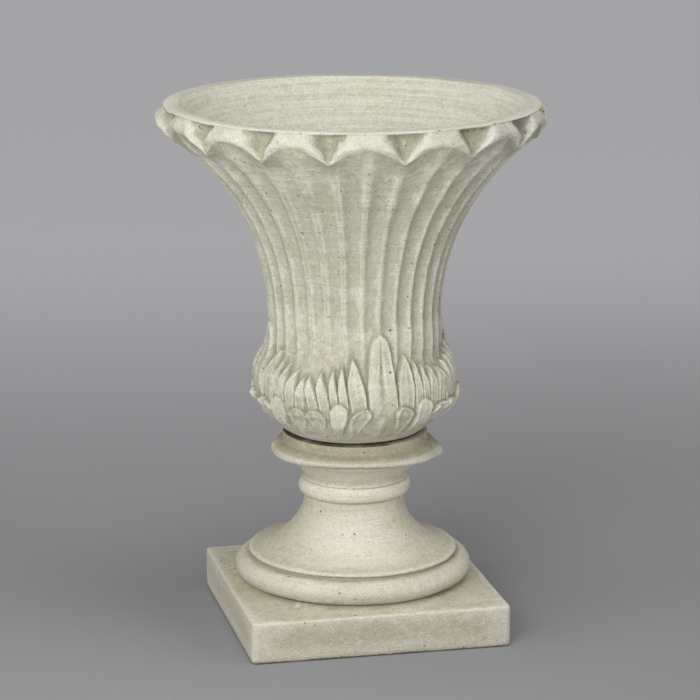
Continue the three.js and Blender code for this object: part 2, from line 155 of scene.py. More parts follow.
# %% Curves that an outline is made of
def eased_run(start, end, first, second, steps):
    """A smooth run between two points whose ends leave and arrive along shares of the way."""
    (r0, z0), (r3, z3) = start, end
    r1, z1 = r0 + (r3 - r0) * first[0], z0 + (z3 - z0) * first[1]
    r2, z2 = r0 + (r3 - r0) * second[0], z0 + (z3 - z0) * second[1]
    way = np.linspace(0, 1, steps + 1)
    weights = ((1 - way) ** 3, 3 * way * (1 - way) ** 2, 3 * way ** 2 * (1 - way), way ** 3)
    radius = sum(weight * r for weight, r in zip(weights, (r0, r1, r2, r3)))
    height = sum(weight * z for weight, z in zip(weights, (z0, z1, z2, z3)))
    return list(zip(radius, height))


def half_round(radius, swell, low, high, steps):
    """A half round that swells outward between two heights."""
    turn = np.linspace(-math.pi / 2, math.pi / 2, steps + 1)
    middle, reach = (low + high) / 2, (high - low) / 2
    return [(radius + swell * math.cos(a), middle + reach * math.sin(a)) for a in turn]


def evenly(outline, spacing):
    """The same outline with its points at even spacing along it."""
    points = np.array(outline)
    lengths = np.concatenate([[0], np.cumsum(np.hypot(*np.diff(points, axis=0).T))])
    count = max(2, round(lengths[-1] / spacing) + 1)
    at = np.linspace(0, lengths[-1], count)
    return list(zip(np.interp(at, lengths, points[:, 0]), np.interp(at, lengths, points[:, 1])))


def smooth_step(value, low, high):
    """0 below low, 1 above high, and an even slope between."""
    share = np.clip((value - low) / (high - low), 0, 1)
    return share * share * (3 - 2 * share)


def lerp(start, end, share):
    """The value at a share of the way."""
    return start + (end - start) * share


def radius_on(outline, height):
    """The radius of an outline at a height."""
    points = np.array(outline)
    return np.interp(height, points[:, 1], points[:, 0])


print("halfway up, a smooth step stands at", smooth_step(0.5, 0, 1))

# %% [markdown]
# ## The bowl's blank
#
# The bowl is one casting: a bulb at the foot, a waist, and a trumpet flare with a lobed cuff under
# a thin lip. It could be sculpted freely, but flutes, lobes and leaves all repeat round the axis,
# so the blank gets one column of points for each half degree or so, and later cells move each
# column to the outline of its own angle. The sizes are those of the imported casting.

# %% Sizes of the bowl, with heights from its own underside
WAIST_RADIUS = 101.4 * mm
WAIST_HEIGHT = 140 * mm
FOOT_RADIUS = 79 * mm
FOOT_EASE = 1 * mm
UNDERSIDE_START = 21 * mm
BULB_RADIUS = 116 * mm
BULB_HEIGHT = 49 * mm
SHOULDER_RADIUS = 97.4 * mm
SHOULDER_HEIGHT = 106 * mm
RIM_RADIUS = 219.2 * mm
LIP_WIDTH = 18.2 * mm
LIP_THICKNESS = 1.5 * mm
LIP_SEAM = 2.5 * mm
BORE_RADIUS = 16.6 * mm
CUFF_BOTTOM = 352 * mm
CUFF_BOTTOM_RADIUS = 210.6 * mm
ARCH_HEIGHT = 370 * mm
ARCH_RADIUS = 222.4 * mm
CUFF_RADIUS = 223 * mm
TIP_RADIUS = 214 * mm
LOBE_RADIUS = 227.3 * mm
SCOOP_RADIUS = 207 * mm
HEAD_LOW = 317 * mm
BOWL_HEIGHT = bowl_top - bowl_base
LIP_BASE = BOWL_HEIGHT - LIP_THICKNESS
BOWL_TURN = math.radians(3.4)

FLUTES = 32
LOBES = 16
LEAF_GROUPS = 4
BOWL_COLUMNS = 640
INNER_COLUMNS = 160
BULB_ROW = 1.75 * mm
NECK_ROWS, FLARE_ROWS, CUFF_ROWS, HEAD_ROWS = 15, 21, 14, 11
print(f"the bowl is {BOWL_HEIGHT:.4f} m high, with {BOWL_COLUMNS // FLUTES} columns to a flute")

# %% Outlines of the bulb and of the ridges between the flutes
bulb_outline = eased_run((FOOT_RADIUS, 0), (BULB_RADIUS, BULB_HEIGHT), (0.35, 0.2), (1, 0.6), 24)
bulb_outline += eased_run((BULB_RADIUS, BULB_HEIGHT), (SHOULDER_RADIUS, SHOULDER_HEIGHT),
                          (0, 0.45), (0.75, 0.75), 24)[1:]
ridge_outline = [(WAIST_RADIUS, SHOULDER_HEIGHT)]
ridge_outline += eased_run((WAIST_RADIUS, WAIST_HEIGHT), (CUFF_BOTTOM_RADIUS, CUFF_BOTTOM),
                           (0, 0.48), (0.503, 0.804), 40)
# Under the arches of the cuff the flare turns up steeply: radius and height in mm
BROW = ((213.2, 354.2), (215.8, 356.8), (218, 360), (219.8, 364))
ridge_outline += [(radius * mm, height * mm) for radius, height in BROW]
ridge_outline += [(ARCH_RADIUS - 1.4 * mm, ARCH_HEIGHT)]

bulb_rows = [height for _, height in evenly(bulb_outline, BULB_ROW)]
neck_rows = list(np.linspace(SHOULDER_HEIGHT, WAIST_HEIGHT, NECK_ROWS + 1))[1:]
flare_rows = list(lerp(WAIST_HEIGHT, CUFF_BOTTOM, np.linspace(0, 1, FLARE_ROWS + 2)[1:-1]))
cuff_rows = list(np.linspace(0, 1, CUFF_ROWS + 2)[1:-1])
print(f"{len(bulb_rows)} rows on the bulb, {len(neck_rows)} on the neck,",
      f"{len(flare_rows)} on the flare and {len(cuff_rows)} on the cuff")

# %% [markdown]
# ## Flutes, lobes and scoops
#
# The flutes are hollows with sharp arrises between them, shallow at the waist and deep at the
# flare. Two flutes run up under each arch of the cuff. Between two lobes the cuff is cut back in
# a three-cornered scoop whose point hangs down over an arris. On the real mould these were run
# and cut by hand, so no two are quite alike: each flute and scoop here has its own small share
# of depth and width, drawn once from a seeded list.

# %% Small differences of the hand
angles = np.arange(BOWL_COLUMNS) / BOWL_COLUMNS * math.tau
hand = np.random.default_rng(12)
WORN_SIDE, WORN_WIDTH = math.radians(320), math.radians(21)


def wear(angle):
    """How worn the bowl is at an angle: the photographed one has softer arrises on one side."""
    return np.exp(-((angle - WORN_SIDE) / WORN_WIDTH) ** 2)


flute_strengths = hand.uniform(0.85, 1.1, FLUTES)
flute_strengths *= 1 - 0.4 * wear((np.arange(FLUTES) + 0.5) / FLUTES * math.tau)
arris_widths = hand.uniform(0.08, 0.14, FLUTES) + 0.16 * wear(np.arange(FLUTES) / FLUTES * math.tau)
scoop_widths = hand.uniform(0.6, 0.7, LOBES)
scoop_edges = hand.uniform(0.4, 0.62, LOBES)
lobe_swells = hand.uniform(0.85, 1.05, LOBES)
# The lobes at the two sides of the photo stand out further than the rest
for number, swell in ((3, 1.15), (4, 1.45), (10, 1.2), (11, 1.5)):
    lobe_swells[number] = swell
tip_shifts = hand.uniform(-0.05, 0.05, LOBES)
arch_drops = hand.uniform(-1.2, 2.2, LOBES) * mm
tip_drops = hand.uniform(-1.5, 1.5, LOBES) * mm
print("the tips hang up to", round(float(abs(tip_drops).max()) / mm, 1), "mm off their level")

# %% Depth of the flutes
FLUTE_DEPTH_AT_WAIST = 3.8 * mm
FLUTE_DEPTH_AT_FLARE = 7.6 * mm
FLUTE_FADE = 40 * mm
FLUTE_FADE_SHARE = 0.55
FLUTE_FLATNESS, FLUTE_SHARPNESS = 2.2, 1.2
FLARE_FULLNESS = 1.1 * mm
FULL_UP_TO = 300 * mm
SHOULDER_BLEND = 5 * mm


def flute_depth(height):
    """Depth of the flutes for every column, at one height or at one height per column."""
    share = np.clip((height - WAIST_HEIGHT) / (CUFF_BOTTOM - WAIST_HEIGHT), 0, 1)
    turns = angles * FLUTES / math.tau
    arris = arris_widths[np.round(turns).astype(int) % FLUTES]
    across = np.minimum(np.abs((turns - np.floor(turns)) * 2 - 1) / (1 - arris), 1)
    strength = flute_strengths[np.floor(turns).astype(int) % FLUTES]
    full = lerp(FLUTE_DEPTH_AT_WAIST, FLUTE_DEPTH_AT_FLARE, share) * strength
    full = full * (1 - FLUTE_FADE_SHARE * smooth_step(height, CUFF_BOTTOM - FLUTE_FADE, ARCH_HEIGHT))
    return full * (1 - across ** FLUTE_FLATNESS) ** FLUTE_SHARPNESS


def ridge_radius(height):
    """Radius of the arrises: upright below the waist and flaring above it."""
    fuller = FLARE_FULLNESS * (1 - smooth_step(height, FULL_UP_TO, CUFF_BOTTOM))
    return np.where(height <= WAIST_HEIGHT, WAIST_RADIUS, radius_on(ridge_outline, height)) + fuller


def soft_max(a, b, blend):
    """The larger of two radii, with a small fillet where they cross."""
    share = np.clip(0.5 + 0.5 * (a - b) / blend, 0, 1)
    return lerp(b, a, share) + blend * share * (1 - share)


def skin_radius(height):
    """Radius of the bowl at a height before leaves are laid on it, for every column."""
    fluted = ridge_radius(height) - flute_depth(height)
    if height >= SHOULDER_HEIGHT:
        return fluted
    if height <= BULB_HEIGHT:
        return np.full(BOWL_COLUMNS, radius_on(bulb_outline, height))
    return soft_max(radius_on(bulb_outline, height), fluted, SHOULDER_BLEND)


for place, height in (("waist", WAIST_HEIGHT), ("cuff", CUFF_BOTTOM)):
    print(f"at the {place} the flutes are up to {flute_depth(height).max() / mm:.1f} mm deep")

# %% Lobed cuff, scoops and lip
turns_of_lobe = angles * LOBES / math.tau
turns_of_lobe += np.interp(turns_of_lobe, np.arange(LOBES), tip_shifts, period=LOBES)
lobe_share = np.abs(turns_of_lobe - np.round(turns_of_lobe)) * 2
tip_number = np.round(turns_of_lobe).astype(int) % LOBES
lobe_number = np.floor(turns_of_lobe).astype(int) % LOBES
arch_rise = np.sin(lobe_share * math.pi / 2)
edge_height = lerp(CUFF_BOTTOM + tip_drops[tip_number], ARCH_HEIGHT - arch_drops[lobe_number], arch_rise)
edge_radius = lerp(TIP_RADIUS, ARCH_RADIUS, arch_rise)
right_flank = turns_of_lobe > np.round(turns_of_lobe)
# A scoop is steep on one flank and runs out gently on the other
GENTLE_SHARE = 0.3
flank_start = np.where(right_flank, scoop_edges[tip_number], scoop_edges[tip_number] * GENTLE_SHARE)
undercut = lerp(2, 8, arch_rise) * mm
SCOOP_LIFT = 4 * mm
SWELL_AT = (0, 0.07, 0.15, 0.28, 0.42, 0.56, 0.7, 0.84, 1)
SWELL_SHARES = (0, 0.32, 0.66, 0.97, 1, 0.84, 0.5, 0.02, -0.7)


def cuff_ring(share):
    """Radius and height of the cuff at a share of its height, for every column."""
    height = lerp(edge_height, LIP_BASE, share)
    settled = lerp(edge_radius, CUFF_RADIUS, smooth_step(share, 0, 0.35))
    swell = np.interp(share, SWELL_AT, SWELL_SHARES) * lobe_swells[lobe_number]
    lobe = settled + (LOBE_RADIUS - CUFF_RADIUS) * swell
    scoop = lerp(TIP_RADIUS, SCOOP_RADIUS, smooth_step(share, 0, 0.8))
    scoop += SCOOP_LIFT * smooth_step(share, 0.86, 1)
    rise = (height - CUFF_BOTTOM) / (LIP_BASE - CUFF_BOTTOM)
    reach = scoop_widths[tip_number] * rise
    outside = smooth_step(lobe_share, reach * flank_start, reach + 0.07)
    return lerp(scoop, lobe, outside), height


print("the scoops are cut", round((CUFF_RADIUS - SCOOP_RADIUS) / mm, 1), "mm into the cuff")

# %% All rings of the outside
# The lip's edge, as inset in mm and height
LIP_EDGE = ((0.2, LIP_BASE), (0, LIP_BASE + 0.3 * mm), (0.1, BOWL_HEIGHT - 0.4 * mm), (0.7, BOWL_HEIGHT))


def rings_of_the_bowl():
    """Radius and height of every row of the outside, from the foot's middle to the flat of the lip."""
    full = np.ones(BOWL_COLUMNS)
    rings = [(full * radius, full * 0) for radius in (UNDERSIDE_START, FOOT_RADIUS - FOOT_EASE)]
    level = [height for height in bulb_rows[1:] + neck_rows + flare_rows if height < HEAD_LOW]
    rings += [(skin_radius(height), full * height) for height in level]
    for share in np.linspace(0, 1, HEAD_ROWS + 1)[1:]:
        height = lerp(level[-1], edge_height - undercut, share)
        rings.append((ridge_radius(height) - flute_depth(height), height))
    under_radius, under_height = rings[-1]
    for share in (0.25, 0.5, 0.75):
        rings.append((lerp(under_radius, edge_radius, share), lerp(under_height, edge_height, share)))
    rings.append((edge_radius, edge_height))
    rings += [cuff_ring(share) for share in cuff_rows]
    rings += [(full * (RIM_RADIUS - inset * mm), full * height) for inset, height in LIP_EDGE]
    rings += [(full * (RIM_RADIUS - LIP_WIDTH + LIP_SEAM), full * BOWL_HEIGHT)]
    return np.array([ring[0] for ring in rings]), np.array([ring[1] for ring in rings])


ring_radii, ring_heights = rings_of_the_bowl()
print(f"{len(ring_radii)} rings of {BOWL_COLUMNS} points")

# %% [markdown]
# ## Acanthus leaves
#
# Each quarter of the bulb has the same spray: a tall blunt leaf with a groove down its middle,
# pointed blades leaning away from it on both sides, and a low tier of curled tips and tongues in
# front of them. Leaves could be separate meshes joined to the bulb, but on the real casting they
# melt into it at their roots and stand clear only at their edges, so each leaf here is a patch of
# relief: how far a point lies inside the leaf's outline says how high it is lifted.

# %% Faces that the leaves reach up to
# Both faces are pairs of (height, radius) in mm: one for the tall tier and one for the low tier
UPPER_FACE = ((25, 112), (37, 118), (49, 120.6), (65, 121.6), (77, 120.4), (89, 115.8), (102, 110.2),
              (115, 107.2), (133, 105.6))
LOW_FACE = ((8, 89), (15, 100), (20, 107), (27, 115), (33, 118.8), (40, 122.2), (46, 124.2), (53, 124.6),
            (60, 123))
LEAVES_UP_TO = 0.36 * BOWL_HEIGHT
LEAF_SIDE = 2.2 * mm
LEAF_SKIRT = 0.6 * mm
RIB_WIDTH = 1.1 * mm
GROUP_ANGLE = math.tau / LEAF_GROUPS
ARC_RADIUS = 119 * mm
from_tall_leaf = (angles + GROUP_ANGLE / 2) % GROUP_ANGLE - GROUP_ANGLE / 2


def blade_lift(height, centre, width, base, length, lean, shape, dip, rise):
    """Share of the full lift that one leaf gives each column at a height, and the place on the leaf."""
    along = (height - base * mm) / (length * mm)
    if not 0 <= along < 1:
        return None
    across = (from_tall_leaf - math.radians(centre)) * ARC_RADIUS - lean * mm * along ** 2
    inside = width * mm / 2 * np.interp(along, *np.transpose(shape)) - np.abs(across)
    edge = smooth_step(inside, -LEAF_SKIRT, LEAF_SIDE - LEAF_SKIRT)
    dip_share, dip_reach = dip
    hollow = dip_share * smooth_step(inside, LEAF_SIDE, dip_reach * mm)
    return edge * (1 - hollow) * np.interp(along, *np.transpose(rise)), across, along


print("each spray of leaves takes", round(math.degrees(GROUP_ANGLE)), "degrees of the bulb")

# %% One spray of leaves
# Outlines are pairs of (share of the way up, share of the half width)
POINTED = ((0, 0.8), (0.2, 0.93), (0.4, 1), (0.55, 0.98), (0.68, 0.86), (0.8, 0.64), (0.9, 0.38),
           (1, 0.02))
ROUND = ((0, 0.42), (0.25, 0.62), (0.5, 0.88), (0.7, 1), (0.82, 0.96), (0.91, 0.76), (0.97, 0.48),
         (1, 0.1))
BLUNT = ((0, 1.45), (0.12, 1.25), (0.22, 1.05), (0.35, 1), (0.5, 1), (0.66, 0.94), (0.79, 0.85),
         (0.86, 0.76), (0.93, 0.6), (0.975, 0.4), (1, 0.1))
# Rises are pairs of (share of the way up, share of the full lift)
SPREAD = ((0, 0.6), (0.2, 0.95), (0.4, 1), (0.7, 0.98), (0.85, 0.84), (1, 0.5))
CURLED = ((0, 0.15), (0.25, 0.33), (0.5, 0.38), (0.62, 0.52), (0.76, 1.12), (0.88, 1.3), (1, 1.15))
TONGUE = ((0, 0.4), (0.2, 0.85), (0.4, 1), (0.75, 1.03), (1, 1))
FROM_STEM = ((0, 0), (0.12, 0.12), (0.2, 0.45), (0.28, 0.85), (0.36, 1), (1, 1))
# Each line: angle from the tall leaf in degrees, then width, base, length and lean away from it in
# mm, outline, the hollow's share of the lift with its reach in mm, and the rise
SIDE_BLADES = (
    (13.9, 21.6, 36, 73, 8.0, POINTED, (0.13, 5), SPREAD),
    (22.2, 12.2, 38, 64, 4.0, POINTED, (0.10, 5), SPREAD),
    (27.6, 11.8, 38, 59, 4.0, POINTED, (0.10, 5), SPREAD),
    (33.6, 15.4, 38, 54, 7.0, POINTED, (0.12, 5), SPREAD),
    (40.6, 14.4, 38, 49, 7.0, POINTED, (0.12, 5), SPREAD),
)
LOW_LEAVES = (
    (15.2, 24.0, 12, 39, -9.0, ROUND, (0.5, 7.5), CURLED),
    (25.6, 22.6, 10, 48, -0.5, ROUND, (0.1, 5), TONGUE),
    (38.0, 26.0, 12, 36, 4.0, ROUND, (0.5, 8), CURLED),
)
TALL_LEAF = (0, 35.0, 20, 114, 0, BLUNT, (0.06, 5), FROM_STEM)
print("a spray has", 1 + 2 * len(SIDE_BLADES), "tall leaves and", 2 * len(LOW_LEAVES), "low ones")

# %% Lift of a whole spray
# The tall leaf's groove, at its foot and at its tip
GROOVE_WIDTHS = (6.5 * mm, 1.5 * mm)
GROOVE_DEPTH_SHARES = (0.42, 0.2)


def leaf_rise(height, skin):
    """How far the leaves lift the skin at a height, for every column."""
    upper = np.interp(height / mm, *np.transpose(UPPER_FACE)) * mm - skin
    low = np.interp(height / mm, *np.transpose(LOW_FACE)) * mm - skin
    lifted = np.zeros(BOWL_COLUMNS)
    found = blade_lift(height, *TALL_LEAF)
    if found:
        share, across, along = found
        groove_width = lerp(*GROOVE_WIDTHS, min(1, along * 1.3))
        groove = lerp(*GROOVE_DEPTH_SHARES, along) * np.exp(-(across / groove_width) ** 2)
        lifted = np.maximum(lifted, upper * (share - groove))
    for side in (-1, 1):
        for lines, face, root in ((SIDE_BLADES, upper, 0.86), (LOW_LEAVES, low, 1)):
            for angle, width, base, length, lean, *forms in lines:
                found = blade_lift(height, side * angle, width, base, length, side * lean, *forms)
                if found:
                    share, across, along = found
                    rib = 0.07 * np.exp(-(across / RIB_WIDTH) ** 2) * smooth_step(share, 0.5, 0.9)
                    grown = lerp(root, 1, min(1, along * 1.6))
                    lifted = np.maximum(lifted, face * (share + rib) * grown)
    return lifted


at_bulb = leaf_rise(BULB_HEIGHT, radius_on(bulb_outline, BULB_HEIGHT))
print("where the bulb is widest, the leaves lift it by up to", round(at_bulb.max() / mm, 1), "mm")

# %% Lift the rings into leaves
# The ribs under the low tier: degrees from the tall leaf on both sides, half width and lift in mm
STEMS = ((0, 6.5, 3.2), (17.5, 5.5, 2.6), (25.5, 6, 3), (36.5, 6, 2.6))
STEMS_FADE_IN = (3 * mm, 14 * mm)
STEMS_FADE_OUT = (26 * mm, 46 * mm)


def stem_rise(height):
    """Soft ribs that gather the leaves towards the foot, under the low tier."""
    fade = smooth_step(height, *STEMS_FADE_IN) * (1 - smooth_step(height, *STEMS_FADE_OUT))
    rib = np.zeros(BOWL_COLUMNS)
    for side in (-1, 1):
        for centre, half_width, lift in STEMS:
            across = (from_tall_leaf - side * math.radians(centre)) * ARC_RADIUS
            rib = np.maximum(rib, lift * mm * np.exp(-(across / (half_width * mm)) ** 2))
    return rib * fade


for row, heights in enumerate(ring_heights):
    height = heights[0]
    if 0 < height < LEAVES_UP_TO:
        lift = leaf_rise(height, ring_radii[row])
        ring_radii[row] += np.maximum(lift, stem_rise(height))
leaf_rings = ring_radii[ring_heights[:, 0] < LEAVES_UP_TO]
print("leaves stand up to", round(float(leaf_rings.max()) / mm, 1), "mm from the axis")

# %% [markdown]
# ## Carving the blank
#
# The blank is spun from the outline over one arris. Every point then knows its ring from its
# height and radius, and its column from its angle, and goes to its place on the carved surface.
# A sculpting brush would follow the eye, but places that are worked out keep each arris sharp, on a
# column of its own.

# %% Spin the blank and carve it
def ring_numbers(points, outline):
    """For each point of a spun blank, the number of the outline's point that it came from."""
    radii, heights = np.transpose(outline)
    return np.concatenate([
        np.argmin(np.hypot(reach_of(part)[:, None] - radii, part[:, 2:] - heights), axis=1)
        for part in np.array_split(points, 64)])


blank = list(zip(ring_radii[:, 0], ring_heights[:, 0] + bowl_base))
bowl = spun("bowl_casting", blank, BOWL_COLUMNS, BOWL_TURN)
raw = points_of(bowl)
turned_by = (turn_of(raw) - BOWL_TURN) % math.tau
columns = np.round(turned_by / math.tau * BOWL_COLUMNS).astype(int) % BOWL_COLUMNS
rows = ring_numbers(raw, blank)
radius, height = ring_radii[rows, columns], ring_heights[rows, columns]
turn = columns / BOWL_COLUMNS * math.tau + BOWL_TURN
place_points(bowl, np.stack([radius * np.sin(turn), -radius * np.cos(turn), height + bowl_base], axis=1))
print(f"carved {len(raw)} points")

# %% [markdown]
# ## The inside of the bowl
#
# Inside, the bowl is plain and brushed smooth, with a flat floor and a bore for the drain. It is
# turned from an outline of its own with fewer columns, and the two shells are bridged on the flat of
# the lip and at the bottom of the bore, so that the casting is one closed skin.

# %% Turn the inside and bridge it to the outside
CAVITY_RADIUS = 78 * mm
MOUTH_RADIUS = RIM_RADIUS - LIP_WIDTH
FLOOR = 42 * mm
COVE = 18 * mm
MOUTH_EASE, MOUTH_DROP = 0.6 * mm, 0.8 * mm
BORE_EASE = 1 * mm
FLOOR_RING = 38 * mm
WALL_ROW = 9 * mm
WALL_TOP_GAP = 2 * mm
wall = eased_run((CAVITY_RADIUS, WAIST_HEIGHT), (MOUTH_RADIUS, BOWL_HEIGHT), (0, 0.4), (0.585, 0.763), 40)
inner = [(MOUTH_RADIUS + MOUTH_EASE, BOWL_HEIGHT), (MOUTH_RADIUS, BOWL_HEIGHT - MOUTH_DROP)]
inner += [point for point in evenly(wall, WALL_ROW)[::-1] if point[1] < BOWL_HEIGHT - WALL_TOP_GAP]
inner += [(CAVITY_RADIUS, lerp(WAIST_HEIGHT, FLOOR + COVE, share)) for share in (0.25, 0.5, 0.75, 1)]
for turn in np.linspace(0, math.pi / 2, 7)[1:]:
    inner.append((CAVITY_RADIUS - COVE * (1 - math.cos(turn)), FLOOR + COVE * (1 - math.sin(turn))))
inner += [(FLOOR_RING, FLOOR), (BORE_RADIUS + BORE_EASE, FLOOR), (BORE_RADIUS, FLOOR - BORE_EASE)]
inner += [(BORE_RADIUS, FLOOR * 0.5), (BORE_RADIUS, 0)]
inside = spun("bowl_inside", [(r, z + bowl_base) for r, z in inner], INNER_COLUMNS, BOWL_TURN)
print(f"the cavity is {(BOWL_HEIGHT - FLOOR) / mm:.0f} mm deep and {2 * MOUTH_RADIUS / mm:.0f} mm wide")

# %% Bridge the two shells
def select_points(piece, chosen):
    """Leaves exactly the chosen points selected, with the edges and faces between them."""
    mesh = piece.data
    pairs = rows_of(mesh.edges, "vertices", 2, int)
    mesh.vertices.foreach_set("select", chosen)
    mesh.edges.foreach_set("select", chosen[pairs[:, 0]] & chosen[pairs[:, 1]])
    mesh.polygons.foreach_set("select", [all(chosen[v] for v in face.vertices) for face in mesh.polygons])


def bridge(piece, low_radius, high_radius, height):
    """Bridges the two open rings that lie at a height between two radii."""
    points = points_of(piece)
    reach = reach_of(points)
    near = (abs(points[:, 2] - height) < MERGE_GAP) & (reach > low_radius) & (reach < high_radius)
    select_points(piece, near)
    bpy.ops.object.mode_set(mode="EDIT")
    bpy.ops.mesh.bridge_edge_loops()
    bpy.ops.object.mode_set(mode="OBJECT")


RING_SLACK = 1 * mm
use_only(bowl)
inside.select_set(True)
bpy.ops.object.join()
bridge(bowl, MOUTH_RADIUS + MOUTH_EASE / 2, MOUTH_RADIUS + LIP_SEAM + RING_SLACK, bowl_top)
bridge(bowl, BORE_RADIUS - RING_SLACK, UNDERSIDE_START + RING_SLACK, bowl_base)
face_outward(bowl)
print(f"{bowl.name} has {triangles_of(bowl)} triangles")

# %% [markdown]
# ## The pedestal
#
# The pedestal is turned too: torus, bell, neck with its astragal, and the collar that carries the
# bowl. Its plinth is square, yet it is cast in one with the rest, so its outline goes on down over
# the plinth as round rings, and those rings are then squared: each is laid along the rounded square
# of the plinth at its height. That keeps the casting one closed skin with no cut between the two.

# %% Sizes of the pedestal, with heights from the ground
PLINTH_HEIGHT = 49 * mm
PLINTH_CORNER = 6.5 * mm
PLINTH_SPARE = 1.2 * mm
PLINTH_EDGE = 3 * mm
DECK_RADIUS = 127 * mm
DECK_RISE = 4.6 * mm
TORUS_BOTTOM = PLINTH_HEIGHT + 5.5 * mm
TORUS_RADIUS = 140.6 * mm
TORUS_TOP = TORUS_BOTTOM + 29 * mm
BELL_RADIUS = 116.5 * mm
BELL_BOTTOM = TORUS_TOP + 7.5 * mm
NECK_RADIUS = 59.6 * mm
NECK_BOTTOM = TORUS_TOP + 66 * mm
ASTRAGAL_BOTTOM = NECK_BOTTOM + 7.5 * mm
ASTRAGAL_TOP = ASTRAGAL_BOTTOM + 18 * mm
ASTRAGAL_RADIUS = 66.5 * mm
ASTRAGAL_EASE = 0.8 * mm
UPPER_NECK_RADIUS = 61.8 * mm
COLLAR_BOTTOM = ASTRAGAL_TOP + 31 * mm
CAVETTO_RADIUS = 92 * mm
CREASE = COLLAR_BOTTOM + 15.5 * mm
CREASE_RADIUS = 88.4 * mm
UPSTAND_RADIUS = 86.4 * mm
DRAIN_RADIUS = 13.5 * mm
TUBE_STEP = 162.2 * mm
BORE_MIDDLE = 80 * mm
PEDESTAL_COLUMNS = 384
print(f"the neck stands {NECK_BOTTOM:.4f} m above the ground and the collar {COLLAR_BOTTOM:.4f} m")

# %% Outline of the pedestal above its plinth
# Three small mouldings, each as pairs in mm: radius and height over the torus's top or the collar's
# bottom, or radius past the upstand and height over the crease
GROOVE_AND_BEAD = ((123.4, -1.5), (121.2, -0.9), (120, 0), (119.9, 0.9), (120.8, 1.7), (122.4, 2.2),
                   (123.6, 3), (124.1, 4), (123.9, 5), (122.9, 5.9), (121.1, 6.6), (118.9, 7.1))
COLLAR_LIP = ((95.4, 0.8), (97.9, 2), (99.1, 3.2), (99.6, 4.4), (99.5, 5.7), (99.2, 7.2))
COLLAR_CREASE = ((0.6, 0.8), (0.1, 2.2))


def moulding(pairs, radius, height):
    """Points of a small moulding from pairs in mm that are counted from a radius and a height."""
    return [(radius + out * mm, height + up * mm) for out, up in pairs]


torus_core = TORUS_RADIUS - (TORUS_TOP - TORUS_BOTTOM) / 2
stem = [(DECK_RADIUS, PLINTH_HEIGHT + DECK_RISE), (125.2 * mm, PLINTH_HEIGHT + DECK_RISE + 0.3 * mm)]
stem += half_round(torus_core, TORUS_RADIUS - torus_core, TORUS_BOTTOM, TORUS_TOP - 1.6 * mm, 22)
stem += moulding(GROOVE_AND_BEAD, 0, TORUS_TOP)
bell = eased_run((BELL_RADIUS, BELL_BOTTOM), (NECK_RADIUS, NECK_BOTTOM), (0.67, 0.15), (1, 0.727), 40)
stem += evenly(bell, 2.6 * mm)
stem += [(NECK_RADIUS, lerp(NECK_BOTTOM, ASTRAGAL_BOTTOM, share)) for share in (0.33, 0.66, 0.9)]
stem += half_round(NECK_RADIUS + ASTRAGAL_EASE, ASTRAGAL_RADIUS - NECK_RADIUS - ASTRAGAL_EASE,
                   ASTRAGAL_BOTTOM, ASTRAGAL_TOP, 14)
stem += [(UPPER_NECK_RADIUS, ASTRAGAL_TOP + ASTRAGAL_EASE)]
cavetto = eased_run((UPPER_NECK_RADIUS, ASTRAGAL_TOP + 2 * ASTRAGAL_EASE), (CAVETTO_RADIUS, COLLAR_BOTTOM),
                    (0.02, 0.42), (0.53, 0.78), 30)
stem += evenly(cavetto, 2.4 * mm)
stem += moulding(COLLAR_LIP, 0, COLLAR_BOTTOM)
stem += eased_run((98.7 * mm, COLLAR_BOTTOM + 8.4 * mm), (CREASE_RADIUS, CREASE),
                  (0.15, 0.5), (0.6, 0.85), 7)
stem += moulding(COLLAR_CREASE, UPSTAND_RADIUS, CREASE)
stem += [(UPSTAND_RADIUS - inset * mm, pedestal_top - drop * mm)
         for inset, drop in ((0, 5), (0, 2), (0.6, 0.6), (2, 0))]
top = [(70 * mm, pedestal_top), (45 * mm, pedestal_top), (BORE_RADIUS + BORE_EASE, pedestal_top)]
bore = [(BORE_RADIUS, pedestal_top - BORE_EASE), (BORE_RADIUS, TUBE_STEP), (DRAIN_RADIUS, TUBE_STEP),
        (DRAIN_RADIUS, BORE_MIDDLE), (DRAIN_RADIUS, BORE_EASE), (DRAIN_RADIUS + BORE_EASE, 0)]
print(f"{len(stem)} rings from the foot of the torus to the collar's top")

# %% Rings of the plinth, first round and later squared
# A ring's round radius is only a label that tells the rings apart until they are squared
LABEL = 150 * mm
UNDERSIDE_INSETS = (60 * mm, 40 * mm, 22 * mm, 10 * mm)
EDGE_TURNS = np.linspace(0, math.pi / 2, 5)
plinth = [(LABEL - inset, 0) for inset in UNDERSIDE_INSETS]
plinth_insets = list(UNDERSIDE_INSETS)
for turn in EDGE_TURNS:
    plinth.append((LABEL + turn * mm, PLINTH_EDGE * (1 - math.cos(turn))))
    plinth_insets.append(PLINTH_EDGE * (1 - math.sin(turn)))
for share in np.linspace(0, 1, 14)[1:-1]:
    plinth.append((LABEL + 2 * mm, lerp(PLINTH_EDGE, PLINTH_HEIGHT - PLINTH_EDGE, share)))
    plinth_insets.append(0)
for turn in EDGE_TURNS[::-1]:
    plinth.append((LABEL + turn * mm, PLINTH_HEIGHT - PLINTH_EDGE * (1 - math.cos(turn))))
    plinth_insets.append(PLINTH_EDGE * (1 - math.sin(turn)))
print(f"{len(plinth)} rings on the plinth, the last inset by {plinth_insets[-1] / mm:.1f} mm")


